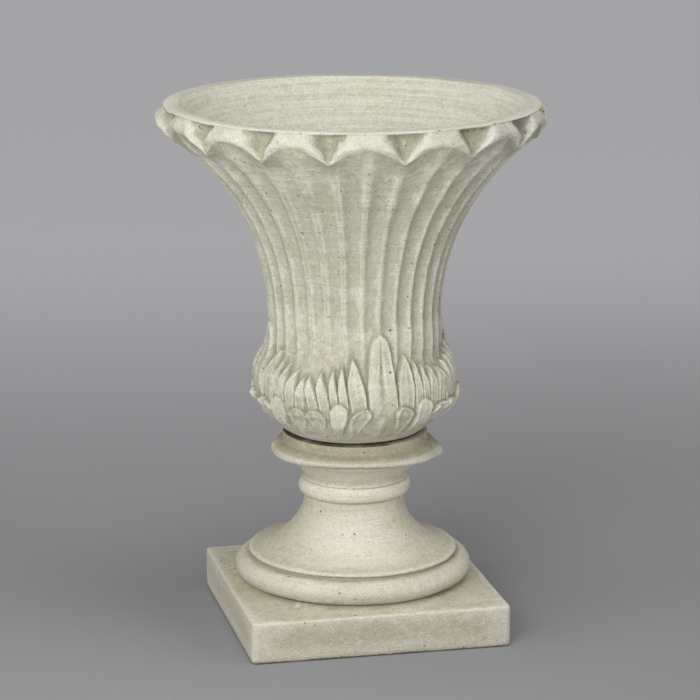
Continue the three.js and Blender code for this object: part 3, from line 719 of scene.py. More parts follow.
def rounded_square(share, inset):
    """Points at shares of the way round the plinth, from the middle of its front, at an inset."""
    half, corner = plinth_half + PLINTH_SPARE - inset, max(PLINTH_CORNER - inset, 0.5 * mm)
    straight, bend = (half - corner) * 2, corner * math.pi / 2
    side = straight + bend
    way = (share * 4 % 4) * side + straight / 2
    number = np.floor(way / side).astype(int) % 4
    along = way % side
    on_bend = along > straight
    turn = np.where(on_bend, (along - straight) / corner, 0)
    x = np.where(on_bend, half - corner + corner * np.sin(turn), along - straight / 2)
    y = np.where(on_bend, -(half - corner) - corner * np.cos(turn), -half)
    angle = number * math.pi / 2
    return x * np.cos(angle) - y * np.sin(angle), x * np.sin(angle) + y * np.cos(angle)


print("a corner of the plinth is", round(float(rounded_square(np.array([0.125]), 0)[0][0]) / mm, 1),
      "mm to the right of its middle")

# %% Spin the pedestal
DECK_START = LABEL - 3 * mm
deck_shares = np.linspace(0, 1, 12)[1:-1]
deck = [(lerp(DECK_START, DECK_RADIUS, share), PLINTH_HEIGHT) for share in deck_shares]
underside = [(lerp(DRAIN_RADIUS + BORE_EASE, LABEL - UNDERSIDE_INSETS[0], share), 0)
             for share in (0.25, 0.5, 0.75)]
whole = underside + plinth + deck + stem + top + bore
pedestal = spun("pedestal_casting", whole + [whole[0]], PEDESTAL_COLUMNS)
print(f"{pedestal.name} is spun from {len(whole)} points")

# %% Square its plinth
raw = points_of(pedestal)
share_round = turn_of(raw) % math.tau / math.tau
reach = reach_of(raw)
rows = ring_numbers(raw, whole)
shaped = raw.copy()
for number, inset in enumerate(plinth_insets, len(underside)):
    ring = rows == number
    shaped[ring, 0], shaped[ring, 1] = rounded_square(share_round[ring], inset)
for number, share in enumerate(deck_shares, len(underside) + len(plinth)):
    ring = rows == number
    square = rounded_square(share_round[ring], plinth_insets[-1])
    circle = raw[ring, :2] / reach[ring, None] * DECK_RADIUS
    shaped[ring, 0] = lerp(square[0], circle[:, 0], share)
    shaped[ring, 1] = lerp(square[1], circle[:, 1], share)
    shaped[ring, 2] += DECK_RISE * share ** 2.2
place_points(pedestal, shaped)
face_outward(pedestal)
print(f"{pedestal.name} has {triangles_of(pedestal)} triangles")

# %% [markdown]
# ## The drain tube and the setting pads
#
# Under the bowl, three thin rubber pads keep the two castings apart, and a grey plastic tube
# stands in both bores. They show when the bowl is lifted. The tube is turned like the castings,
# because its wall and its eased ends then come from one outline. A pad is quicker as a cylinder
# whose edges are bevelled round.

# %% Turn the tube
TUBE_RADIUS = 16 * mm
TUBE_WALL = 2.5 * mm
TUBE_EASE = 0.6 * mm
TUBE_COLUMNS = 64
tube_low, tube_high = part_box("drain_tube")[0][2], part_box("drain_tube")[1][2]
tube_middle = lerp(tube_low, tube_high, 0.5)
tube_inner = TUBE_RADIUS - TUBE_WALL
tube_outline = [
    (tube_inner, tube_low + TUBE_EASE), (tube_inner + TUBE_EASE, tube_low),
    (TUBE_RADIUS - TUBE_EASE, tube_low), (TUBE_RADIUS, tube_low + TUBE_EASE),
    (TUBE_RADIUS, tube_middle), (TUBE_RADIUS, tube_high - TUBE_EASE),
    (TUBE_RADIUS - TUBE_EASE, tube_high), (tube_inner + TUBE_EASE, tube_high),
    (tube_inner, tube_high - TUBE_EASE), (tube_inner, tube_middle),
]
tube = spun("drain_tube_fine", tube_outline + tube_outline[:1], TUBE_COLUMNS)
print(f"{tube.name} is {tube_high - tube_low:.4f} m long")

# %% Cut the pads
PAD_COLUMNS = 48
PAD_INSET = 3 * mm
PAD_ROUNDING = 0.5 * mm
pads = []
for number in (1, 2, 3):
    low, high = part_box(f"setting_pad_{number}")
    middle = [(a + b) / 2 for a, b in zip(low, high)]
    bpy.ops.object.select_all(action="DESELECT")
    bpy.ops.mesh.primitive_cylinder_add(vertices=PAD_COLUMNS, radius=(high[0] - low[0]) / 2,
                                        depth=high[2] - low[2], location=middle)
    pad = bpy.context.object
    pad.name = pad.data.name = f"setting_pad_{number}_fine"
    bpy.ops.object.transform_apply()
    bpy.ops.object.mode_set(mode="EDIT")
    bpy.ops.mesh.select_all(action="SELECT")
    bpy.ops.mesh.inset(thickness=PAD_INSET, use_individual=False)
    bpy.ops.mesh.select_all(action="DESELECT")
    bpy.ops.object.mode_set(mode="OBJECT")
    rounding = pad.modifiers.new("rounded rim", "BEVEL")
    rounding.width = PAD_ROUNDING
    rounding.segments = 3
    rounding.limit_method = "ANGLE"
    bpy.ops.object.modifier_apply(modifier=rounding.name)
    pads.append(pad)
print("pads:", ", ".join(pad.name for pad in pads))

# %% [markdown]
# ## Cast and rubbed by hand
#
# A cast surface is never quite true: it waves a little, and its edges are softened by trimming.
# Bump in the material would show that in the light only, so a displace modifier with a cloud
# texture moves the mesh itself, once in broad waves and once in small ones. The faces that the
# pieces rest on stay true: they are left out of the vertex group that the modifier works on.

# %% Waves in the castings
def wave(piece, group, name, size, depth):
    """Moves the surface in and out along its normals by a soft cloud of that size and depth."""
    cloud = bpy.data.textures.new(name, "CLOUDS")
    cloud.noise_scale = size
    cloud.noise_depth = 1
    use_only(piece)
    modifier = piece.modifiers.new(name, "DISPLACE")
    modifier.texture = cloud
    modifier.texture_coords = "LOCAL"
    modifier.strength = depth
    modifier.mid_level = 0.5
    modifier.vertex_group = group
    bpy.ops.object.modifier_apply(modifier=modifier.name)


def weather(piece, title, low, high, waves):
    """Gives the free surface of a casting, between two heights, its waves: name, size and depth in mm."""
    points = points_of(piece)
    free = (points[:, 2] > low) & (points[:, 2] < high) & (reach_of(points) > TRUE_WITHIN)
    group = piece.vertex_groups.new(name=title)
    group.add(np.flatnonzero(free).tolist(), 1.0, "REPLACE")
    for name, size, depth in waves:
        wave(piece, group.name, name, size * mm, depth * mm)


TRUE_WITHIN = 20 * mm
TRUE_AT_FOOT = 4 * mm
TRUE_AT_TOP = 1 * mm
CUFF_WAVES = (346 * mm, BOWL_HEIGHT - 3 * mm)
weather(bowl, "free surface", bowl_base + TRUE_AT_FOOT, bowl_top - TRUE_AT_TOP,
        (("broad wave", 45, 1.6), ("small wave", 9, 0.8)))
weather(bowl, "cuff", *(bowl_base + height for height in CUFF_WAVES), (("cuff wave", 15, 2.4),))
weather(pedestal, "free surface", TRUE_AT_FOOT, pedestal_top - TRUE_AT_TOP,
        (("broad wave", 60, 1.4), ("small wave", 10, 0.5)))
print("both castings have their waves")

# %% [markdown]
# ## Out of true
#
# Neither casting is quite round its own axis: set side by side with a straight edge, the bulb and
# the collar stand a few millimetres to one side. A lean that changes with height gives that, and it
# leaves the bores and seats where the drain tube needs them. A few lumps of stone that ran out of
# the mould's joints are raised one by one, and the collar's lip hangs a little at both sides.

# %% Lean and lumps
LEAN_TO = math.radians(77.36)
BORE_TRUE, FREE_FROM = 30 * mm, 55 * mm
# Leans are pairs of (height over the casting's own underside, shift) in mm
BOWL_LEAN = ((0, 0.6), (9, -0.2), (24, 0.6), (38, 2.8), (52, 3.2), (67, 1.8), (82, 0.8), (96, 1.8),
             (111, 2.4), (126, 2.7), (150, 1.2), (300, 1.2), (350, 0.4), (368, -1.2))
PEDESTAL_LEAN = ((0, 1), (49, 1), (54, -0.8), (90, -0.8), (120, 0), (160, 1), (176, 2), (200, 2.6),
                 (208, 3.8), (214, 2.6), (232, 2))


def lean_over(piece, base, table):
    """Moves each height of a casting sideways, but not its bore."""
    points = points_of(piece)
    heights, shifts = np.transpose(table) * mm
    free = smooth_step(reach_of(points), BORE_TRUE, FREE_FROM)
    shift = np.interp(points[:, 2] - base, heights, shifts) * free
    points[:, 0] += shift * math.sin(LEAN_TO)
    points[:, 1] -= shift * math.cos(LEAN_TO)
    place_points(piece, points)


def raise_lumps(piece, lumps):
    """Raises round lumps: radius and height in mm with the angle between, then size and rise in mm."""
    points = points_of(piece)
    normals = rows_of(piece.data.vertices, "normal", 3)
    for radius, angle, height, size, rise in lumps:
        middle = np.array(around(radius * mm, math.radians(angle), height * mm))
        away = np.linalg.norm(points - middle, axis=1) / (size * mm)
        points += normals * (rise * mm * (1 - smooth_step(away, 0.1, 1)))[:, None]
    place_points(piece, points)


print("the bulb will stand", max(shift for _, shift in BOWL_LEAN), "mm to one side")

# %% Let the lip sag, raise the lumps and lean the castings
LIP_FRONT = math.radians(-12)
LIP_MIDDLE = COLLAR_BOTTOM + 4.4 * mm
LIP_REACH = 11 * mm
LIP_FALL = 3.2 * mm


def sag(piece, middle, reach, fall):
    """Lets a lip hang at both sides and stand up at the front and the back."""
    points = points_of(piece)
    at_lip = 1 - smooth_step(np.abs(points[:, 2] - middle), 0.35 * reach, reach)
    at_lip *= smooth_step(reach_of(points), UPSTAND_RADIUS + 2 * mm, CAVETTO_RADIUS)
    points[:, 2] += fall * at_lip * np.cos(2 * (turn_of(points) - LIP_FRONT))
    place_points(piece, points)


sag(pedestal, LIP_MIDDLE, LIP_REACH, LIP_FALL)
raise_lumps(pedestal, ((137, -40.5, 53, 7, 2.6), (134, -37, 52, 6, 1.6), (139.5, -24, 60, 6, 1.5),
                       (154, -10, 17, 7, 0.9), (140, 20, 66, 8, 0.7), (129, 2, 88, 7, 0.8),
                       (96, 72, 206, 22, 3.4), (98, -103, 214, 15, 2.4)))
raise_lumps(bowl, ((100, -103, 250, 24, 3.6), (150, 20, 452, 12, 0.8), (128, -40, 410, 10, 0.7)))
lean_over(bowl, bowl_base, BOWL_LEAN)
lean_over(pedestal, 0, PEDESTAL_LEAN)
print("the collar's lip hangs", round(LIP_FALL / mm, 1), "mm at its sides")

# %% [markdown]
# ## Where the wash stays
#
# The pale wash was rubbed off broad faces and stayed bright on arrises, while dirt and a greenish
# tone gathered in the hollows. To paint that, the materials need to know how hollow the surface is
# at each point. A baked ambient occlusion would tell too, but a plain measure is enough: relax a
# copy of the surface, and see how far each point lies below or above it.

# %% Measure hollows and arrises
def relaxed(points, pairs, rounds):
    """The points after each has moved to the mean of its neighbours a number of times."""
    count = np.bincount(pairs.ravel(), minlength=len(points))[:, None]
    for _ in range(rounds):
        total = np.zeros_like(points)
        for axis in range(3):
            total[:, axis] += np.bincount(pairs[:, 0], points[pairs[:, 1], axis], len(points))
            total[:, axis] += np.bincount(pairs[:, 1], points[pairs[:, 0], axis], len(points))
        points = (points + total / count) / 2
    return points


def mark(piece, name, values):
    """Stores one value per point under a name."""
    marks = piece.data.attributes
    stored = marks[name] if name in marks else marks.new(name, "FLOAT", "POINT")
    stored.data.foreach_set("value", values.astype(np.float32))


def marks_on(piece, name):
    """The values stored under a name, one per point."""
    return rows_of(piece.data.attributes[name].data, "value", 1)[:, 0]


def mark_hollows(piece, name, rounds, full):
    """Stores how hollow each point is: 0 on an arris, 0.5 on a flat or on the inside, 1 in a hollow."""
    points = points_of(piece)
    normals = rows_of(piece.data.vertices, "normal", 3)
    pairs = rows_of(piece.data.edges, "vertices", 2, int)
    below = ((relaxed(points, pairs, rounds) - points) * normals).sum(axis=1)
    wall_radius = radius_on(wall, points[:, 2] - bowl_base) if piece == bowl else 0
    outside = reach_of(points) > wall_radius + SKIN
    mark(piece, name, np.clip(0.5 + below / full / 2 * outside, 0, 1))
    return below


SKIN = 6 * mm
FULL_FINE, FULL_BROAD = 0.5 * mm, 3 * mm
HOLLOWS = ("hollow_fine", "hollow_broad")
for piece in (bowl, pedestal):
    for name, rounds, full in zip(HOLLOWS, (8, 90), (FULL_FINE, FULL_BROAD)):
        below = mark_hollows(piece, name, rounds, full)
        print(piece.name, name, "is up to", round(float(np.percentile(np.abs(below), 95)) / mm, 2), "mm")
for piece in (bowl, pedestal, tube, *pads):
    use_only(piece)
    bpy.ops.object.shade_smooth_by_angle(angle=math.radians(50))

# %% Mark the bowl's wash, dirt, painted shade and pinholes
def by_height(height, pairs):
    """What pairs of (height in mm, value) give at each height."""
    return np.interp(height / mm, *np.transpose(pairs))


BOWL_COATS = ((30, 0.1), (60, 0), (110, 0.2), (180, 0.9), (330, 0.8), (388, 0))
BOWL_SOILS = ((0, 0.25), (20, 0.12), (40, 0.08), (115, 0.08), (135, 0))
BOWL_PITS = ((40, 0.2), (140, 0.35), (250, 0.8), (360, 1))
# How much darker the creases between the leaves are made, by height in mm
CREASE_DARKENING = ((15, 0), (30, 0.3), (105, 0.3), (130, 0))
# Heights over the cuff's edge where the painted shade under the lobes begins and ends, and where the
# lobes' dirt begins
SHADE_UNDER_LOBES_IN, SHADE_UNDER_LOBES_OUT = (-24 * mm, -6 * mm), (-0.5 * mm, 2.5 * mm)
LOBES_IN = (2 * mm, 6 * mm)

points = points_of(bowl)
height, reach = points[:, 2] - bowl_base, reach_of(points)
is_inside = reach < radius_on(wall, height) + SKIN
on_top = height > BOWL_HEIGHT - 1 * mm
column = np.round((turn_of(points) - BOWL_TURN) / math.tau * BOWL_COLUMNS).astype(int) % BOWL_COLUMNS
over = height - edge_height[column]
# Painted shade under the lobes: there the flute heads count as hollows, taking grime and no wash, and half
# of it goes into the dirt
shade_under_lobes = smooth_step(over, *SHADE_UNDER_LOBES_IN) * (1 - smooth_step(over, *SHADE_UNDER_LOBES_OUT))
for name in HOLLOWS:
    found = marks_on(bowl, name)
    mark(bowl, name, lerp(found, np.maximum(found, 0.55), shade_under_lobes))
crease_darkening = smooth_step(marks_on(bowl, "hollow_fine"), 0.58, 0.95) * by_height(height, CREASE_DARKENING)
soils_and_shade = 0.5 * shade_under_lobes + 0.38 * smooth_step(over, *LOBES_IN) + crease_darkening + by_height(height, BOWL_SOILS)
mark(bowl, "wash_and_light", np.where(is_inside | on_top, 1, by_height(height, BOWL_COATS)))
mark(bowl, "soiled_and_shaded", np.where(is_inside | on_top, 0, soils_and_shade))
mark(bowl, "pitted", np.where(is_inside, 0.08, by_height(height, BOWL_PITS)))
mark(bowl, "bare_and_shadow", np.zeros(len(points)))
print(f"{is_inside.mean():.0%} of the bowl's points are on its inside")

# %% Mark the pedestal's wash, dirt, painted light and shade, pinholes and bare edge
# Wash by height; over 1 on the neck, where it is painted paler still to lift the shade under the collar
PEDESTAL_WASH_AND_LIGHT = ((0, 0.1), (49, 0.3), (86, 0.4), (96, 0.6), (140, 0.8), (160, 0.9), (178, 1.7),
                  (200, 1.7), (208, 0.4), (232, 0.1))
# Dirt and painted shade by height: the plinth's sides darker towards the bottom, painted shade under the
# torus, and painted shade on the collar and upstand under the bowl
PEDESTAL_DIRT_AND_SHADE = ((0, 0.42), (47, 0.3), (49.5, 0), (60, 0.6), (72, 0.3), (84, 0.15), (92, 0), (206, 0),
                  (212, 0.2), (218, 0.65), (226, 0.8), (235, 0.5))
PEDESTAL_PITS = ((0, 0.4), (60, 0.35), (90, 0.2), (200, 0.3))
# A thick wash with a painted highlight on the bell's front, by height in mm
BELL_WASH_AND_HIGHLIGHT = ((90, 0), (100, 1.9), (140, 1.9), (155, 0))
# Bare stone and a painted contact shadow along the plinth's foot, as (height in mm, share)
BARE_AND_SHADOWED_FOOT = ((1.2, 1), (3.8, 0))
HIGHLIGHT_SIDE, HIGHLIGHT_WIDTH = math.radians(-10), math.radians(38)
NECK_IN, NECK_OUT, UNDER_BOWL = (176 * mm, 182 * mm), (198 * mm, 205 * mm), (213 * mm, 218 * mm)
SIDE_FACE, SIDE_TOP = (plinth_half - 6 * mm, plinth_half - 2 * mm), 46 * mm

points = points_of(pedestal)
height, reach = points[:, 2], reach_of(points)
in_neck = smooth_step(height, *NECK_IN) * (1 - smooth_step(height, *NECK_OUT))
# Painted light: the neck's broad hollow is evened out, so no grime darkens the shade under the collar
mark(pedestal, "hollow_broad", lerp(marks_on(pedestal, "hollow_broad"), 0.5, in_neck))
# Painted shade under the bowl: the collar's top counts as a hollow, so it gets grime and no wash
for name in HOLLOWS:
    found = marks_on(pedestal, name)
    mark(pedestal, name, lerp(found, np.maximum(found, 0.6), smooth_step(height, *UNDER_BOWL)))
# Painted light: the plinth's left face gets more wash and less dirt, so that side is paler
painted_light_left_face = smooth_step(-points[:, 0], *SIDE_FACE) * (height < SIDE_TOP)
# Thick wash and painted highlight on the bell, strongest at its front
wash_and_highlight = np.exp(-((turn_of(points) - HIGHLIGHT_SIDE) / HIGHLIGHT_WIDTH) ** 2) * by_height(height, BELL_WASH_AND_HIGHLIGHT)
# Painted shadow: the seat under the bowl is earth toned, which shows as the dark gap line
on_seat = (height > pedestal_top - 0.4 * mm) & (reach < UPSTAND_RADIUS - 1 * mm)
mark(pedestal, "wash_and_light", by_height(height, PEDESTAL_WASH_AND_LIGHT) + wash_and_highlight + 0.5 * painted_light_left_face)
mark(pedestal, "soiled_and_shaded", by_height(height, PEDESTAL_DIRT_AND_SHADE) * (1 - 0.8 * painted_light_left_face))
mark(pedestal, "pitted", by_height(height, PEDESTAL_PITS))
mark(pedestal, "bare_and_shadow", np.where(on_seat, 1, by_height(height, BARE_AND_SHADOWED_FOOT)))
print("both castings carry", ", ".join(pedestal.data.attributes[name].name for name in
                                       (*HOLLOWS, "wash_and_light", "soiled_and_shaded", "pitted", "bare_and_shadow")))

# %% [markdown]
# ## Effects that the materials share
#
# Four things are seen on both castings: soft blotches of colour, sand grain, pinholes where air
# was trapped against the mould, and the marks of a brush drawn round the work. Each is a node group
# with named inputs, built once, so that each material only says how strong and how large it is. A
# fifth group lays wash on the arrises and grime in the hollows, by the values that were stored.

# %% Helpers for node groups
def tone(red, green, blue):
    """A colour given as it looks on a screen, 0 to 255, as the linear values that nodes take."""
    levels = [value / 255 for value in (red, green, blue)]
    return (*[v / 12.92 if v <= 0.04045 else ((v + 0.055) / 1.055) ** 2.4 for v in levels], 1)


SOCKETS = {"vector": "NodeSocketVector", "value": "NodeSocketFloat", "colour": "NodeSocketColor"}


def effect(name, takes, gives):
    """A new node group with named inputs and outputs, each a (name, kind) pair."""
    group = bpy.data.node_groups.new(name, "ShaderNodeTree")
    for title, kind in takes:
        group.interface.new_socket(title, in_out="INPUT", socket_type=SOCKETS[kind])
    for title, kind in gives:
        group.interface.new_socket(title, in_out="OUTPUT", socket_type=SOCKETS[kind])
    return group, group.nodes.new("NodeGroupInput").outputs, group.nodes.new("NodeGroupOutput").inputs


print("a middle grey of 128 is", round(tone(128, 128, 128)[0], 3), "in linear light")

# %% Helpers for single nodes
def plug_in(tree, added, plugs):
    """Sets or links the inputs of a node, given as {input: value or socket}."""
    for key, value in plugs.items():
        if isinstance(value, bpy.types.NodeSocket):
            tree.links.new(value, added.inputs[key])
        else:
            added.inputs[key].default_value = value


def node(tree, kind, plugs=None, **settings):
    """Adds a node, with settings as its properties, and plugs it in."""
    added = tree.nodes.new(f"ShaderNode{kind}")
    for key, value in settings.items():
        setattr(added, key, value)
    plug_in(tree, added, plugs or {})
    return added


def maths(tree, operation, *values):
    """A Math node's result."""
    return node(tree, "Math", dict(enumerate(values)), operation=operation).outputs[0]


def spread(tree, value, low, high, to_low=0.0, to_high=1.0):
    """The value moved from one range to another and held inside it."""
    plugs = {0: value, 1: low, 2: high, 3: to_low, 4: to_high}
    return node(tree, "MapRange", plugs, interpolation_type="SMOOTHSTEP").outputs[0]


def mixed(tree, share, first, second, blend="MIX"):
    """Two colours mixed by a share."""
    plugs = {0: share, 6: first, 7: second}
    return node(tree, "Mix", plugs, data_type="RGBA", blend_type=blend).outputs[2]


print("nodes are added with", ", ".join(helper.__name__ for helper in (node, maths, spread, mixed)))

# %% Blotches, grain, pinholes and brush marks
blotches, given, result = effect(
    "blotches", [("Place", "vector"), ("Scale", "value"), ("Pale", "colour"), ("Deep", "colour")],
    [("Colour", "colour")])
cloudy = node(blotches, "TexNoise", {"Vector": given["Place"], "Scale": given["Scale"], "Detail": 3.0,
                                     "Roughness": 0.55})
blotches.links.new(mixed(blotches, spread(blotches, cloudy.outputs[0], 0.3, 0.7), given["Deep"],
                         given["Pale"]), result["Colour"])

grain, given, result = effect(
    "sand_grain", [("Place", "vector"), ("Scale", "value")], [("Grain", "value")])
coarse = node(grain, "TexNoise", {"Vector": given["Place"], "Scale": given["Scale"], "Detail": 2.0,
                                  "Roughness": 0.7})
grain.links.new(spread(grain, coarse.outputs[0], 0.25, 0.75), result["Grain"])

pinholes, given, result = effect(
    "pinholes", [("Place", "vector"), ("Cells", "value"), ("Size", "value"), ("Kept", "value")],
    [("Hole", "value")])
cells = node(pinholes, "TexVoronoi", {"Vector": given["Place"], "Scale": given["Cells"]})
draw = node(pinholes, "SeparateColor", {0: cells.outputs["Color"]})
kept = maths(pinholes, "LESS_THAN", draw.outputs[0], given["Kept"])
own_size = maths(pinholes, "MULTIPLY", given["Size"], maths(pinholes, "ADD", draw.outputs[1], 0.35))
dug = maths(pinholes, "SUBTRACT", own_size, cells.outputs["Distance"])
depth = maths(pinholes, "DIVIDE", dug, maths(pinholes, "MULTIPLY", own_size, 0.5))
hole = maths(pinholes, "MULTIPLY", spread(pinholes, depth, 0, 1), kept)
pinholes.links.new(hole, result["Hole"])

brushed, given, result = effect(
    "brush_marks", [("Place", "vector"), ("Round", "value"), ("Up", "value")], [("Mark", "value")])
pulled = node(brushed, "CombineXYZ", {0: given["Round"], 1: given["Round"], 2: given["Up"]})
drawn_out = node(brushed, "VectorMath", {0: given["Place"], 1: pulled.outputs[0]}, operation="MULTIPLY")
streaks = node(brushed, "TexNoise", {"Vector": drawn_out.outputs[0], "Scale": 1.0, "Detail": 4.0,
                                     "Roughness": 0.6})
brushed.links.new(spread(brushed, streaks.outputs[0], 0.3, 0.7), result["Mark"])
print("groups:", blotches.name, grain.name, pinholes.name, brushed.name)

# %% The wash, rubbed off the faces and left on the arrises
washed, given, result = effect(
    "rubbed_wash",
    [("Stone", "colour"), ("Wash", "colour"), ("Grime", "colour"), ("Fine", "value"), ("Broad", "value"),
     ("Patchy", "value"), ("Wash amount", "value"), ("Grime amount", "value")],
    [("Colour", "colour")])
arris = spread(washed, given["Fine"], 0.46, 0.16)
crown = spread(washed, given["Broad"], 0.48, 0.15)
high = maths(washed, "MAXIMUM", maths(washed, "MULTIPLY", arris, 0.8),
             maths(washed, "MULTIPLY", crown, 0.65))
pale = maths(washed, "MULTIPLY", maths(washed, "MULTIPLY", high, given["Wash amount"]),
             spread(washed, given["Patchy"], 0.1, 0.75, 0.35, 1.0))
crease = spread(washed, given["Fine"], 0.56, 0.9)
basin = spread(washed, given["Broad"], 0.53, 0.95)
low = maths(washed, "MAXIMUM", crease, maths(washed, "MULTIPLY", basin, 0.35))
dirty = maths(washed, "MULTIPLY", low, given["Grime amount"])
with_grime = mixed(washed, dirty, given["Stone"], given["Grime"])
washed.links.new(mixed(washed, pale, with_grime, given["Wash"]), result["Colour"])
print("group:", washed.name)

# %% [markdown]
# ## Cast stone
#
# The bowl and the pedestal came from different batches: the bowl is cooler and a little green,
# the pedestal warmer. One function mixes both, each with its own tones and strengths. It lays the
# colours one over the other: blotched stone, brushed wash and dirt that also carry painted light and
# shade, what the rubbing left on the arrises and in the hollows, and last sand, pinholes and bare stone,
# which also paints a few shadows.

# %% Place groups in a material
def use(tree, group, plugs):
    """Places a node group in a material."""
    placed = tree.nodes.new("ShaderNodeGroup")
    placed.node_tree = group
    plug_in(tree, placed, plugs)
    return placed.outputs


def stored(tree, name):
    """The value that was stored with each point under a name."""
    return node(tree, "Attribute", attribute_name=name).outputs["Fac"]


def part(tree, value, share):
    """A share of a value."""
    return maths(tree, "MULTIPLY", value, share)


def new_material(name):
    """A material with only its surface shader, and that shader."""
    material = bpy.data.materials.new(name)
    material.use_nodes = True
    return material, material.node_tree, material.node_tree.nodes["Principled BSDF"]


print("groups to place:", ", ".join(group.name for group in bpy.data.node_groups))

# %% Marks that show both as colour and as relief
GRAIN_DEPTH = 0.8 * mm


def hand_marks(tree, place):
    """Sand, specks, pits and the marks of the brush: strokes round the casting and drag up it."""
    pitted = stored(tree, "pitted")
    large_pit = use(tree, pinholes, {"Place": place, "Cells": 62.0, "Size": 0.09, "Kept": pitted})["Hole"]
    small_pit = use(tree, pinholes, {"Place": place, "Cells": 140.0, "Size": 0.13, "Kept": pitted})["Hole"]
    return {
        "sand": use(tree, grain, {"Place": place, "Scale": 620.0})["Grain"],
        "speck": use(tree, grain, {"Place": place, "Scale": 300.0})["Grain"],
        "pit": maths(tree, "MAXIMUM", large_pit, small_pit),
        "strokes": use(tree, brushed, {"Place": place, "Round": 9.0, "Up": 330.0})["Mark"],
        "drag": use(tree, brushed, {"Place": place, "Round": 210.0, "Up": 26.0})["Mark"]}


def relief(tree, marks, streak):
    """The height of the grain, strokes and pits, as a normal for the shader."""
    stroke_share = spread(tree, stored(tree, "wash_and_light"), 0, 1, 0.1, 0.5)
    height = maths(tree, "ADD", part(tree, marks["sand"], 0.3), part(tree, marks["speck"], 0.55))
    height = maths(tree, "ADD", height, part(tree, marks["strokes"], stroke_share))
    height = maths(tree, "ADD", height, part(tree, marks["drag"], streak * 2))
    height = maths(tree, "SUBTRACT", height, part(tree, marks["pit"], 1.6))
    return node(tree, "Bump", {"Strength": 0.8, "Distance": GRAIN_DEPTH, "Height": height}).outputs[0]


print("the grain is up to", round(GRAIN_DEPTH / mm, 1), "mm deep")

# %% Layers of colour, from the stone outwards
# Earth tone for bare stone, also used as painted shadow at the plinth's foot and in the gap under the bowl
HOLE_TONE, EARTH_AND_SHADOW_TONE = tone(84, 78, 62), tone(86, 74, 58)
WHITE, SMALL_BLOTCH_TONE = (1, 1, 1, 1), tone(222, 221, 208)


def blotched(tree, place, patch, pale, deep, cool):
    """The stone itself, with blotches of three sizes."""
    large = use(tree, blotches, {"Place": place, "Scale": 9.0, "Pale": pale, "Deep": deep})["Colour"]
    small = use(tree, blotches, {"Place": place, "Scale": 110.0, "Pale": WHITE,
                                 "Deep": SMALL_BLOTCH_TONE})["Colour"]
    body = mixed(tree, 1.0, large, small, "MULTIPLY")
    return mixed(tree, spread(tree, patch, 0.45, 0.7, 0.0, 0.6), body, cool)


def brushed_over(tree, body, patch, marks, wash, grime, dirt_and_shade, streak, brush):
    """The wash as it was brushed on, with painted light in places, dirt with painted shade in places, and
    brush marks round and up the casting.
    """
    wash_and_light = part(tree, stored(tree, "wash_and_light"), spread(tree, marks["strokes"], 0, 1, 0.3, 1.0))
    soiled_and_shaded = part(tree, stored(tree, "soiled_and_shaded"), spread(tree, patch, 0.3, 0.7, 0.6, 1.0))
    body = mixed(tree, part(tree, wash_and_light, 0.8), body, wash)
    body = mixed(tree, soiled_and_shaded, body, dirt_and_shade)
    body = mixed(tree, part(tree, marks["strokes"], brush), body, grime)
    return mixed(tree, part(tree, marks["drag"], streak), body, grime)


def sanded(tree, body, patch, marks, wash, grime):
    """Dark sand, pale specks, pinholes, and bare stone that also paints the contact shadow at the plinth's
    foot and the shadow in the gap under the bowl.
    """
    body = mixed(tree, spread(tree, marks["sand"], 0.45, 0.9, 0.0, 0.5), body, grime)
    body = mixed(tree, spread(tree, marks["speck"], 0.5, 1.0, 0.0, 0.2), body, wash)
    body = mixed(tree, part(tree, marks["pit"], 0.8), body, HOLE_TONE)
    bare_and_shadow = part(tree, stored(tree, "bare_and_shadow"), spread(tree, patch, 0.35, 0.6, 0.5, 1.0))
    return mixed(tree, bare_and_shadow, body, EARTH_AND_SHADOW_TONE)


print("in linear light, pinholes are", [round(value, 2) for value in HOLE_TONE[:3]],
      "and bare stone is", [round(value, 2) for value in EARTH_AND_SHADOW_TONE[:3]])

# %% Mix the cast stone
def cast_stone(name, pale, deep, cool, wash, grime, dirt_and_shade, wash_amount, grime_amount, streak, brush):
    """Cast stone with its blotches, grain, pinholes, brush marks and wash."""
    material, tree, shader = new_material(name)
    place = node(tree, "TexCoord").outputs["Object"]
    patch = node(tree, "TexNoise", {"Vector": place, "Scale": 30.0, "Detail": 5.0,
                                    "Roughness": 0.65}).outputs[0]
    marks = hand_marks(tree, place)
    body = blotched(tree, place, patch, pale, deep, cool)
    body = brushed_over(tree, body, patch, marks, wash, grime, dirt_and_shade, streak, brush)
    body = use(tree, washed, {
        "Stone": body, "Wash": wash, "Grime": grime, "Patchy": patch, "Fine": stored(tree, "hollow_fine"),
        "Broad": stored(tree, "hollow_broad"), "Wash amount": wash_amount,
        "Grime amount": grime_amount})["Colour"]
    body = sanded(tree, body, patch, marks, wash, grime)
    tree.links.new(body, shader.inputs["Base Color"])
    tree.links.new(spread(tree, marks["speck"], 0, 1, 0.78, 0.94), shader.inputs["Roughness"])
    tree.links.new(relief(tree, marks, streak), shader.inputs["Normal"])
    shader.inputs["Specular IOR Level"].default_value = 0.25
    return material


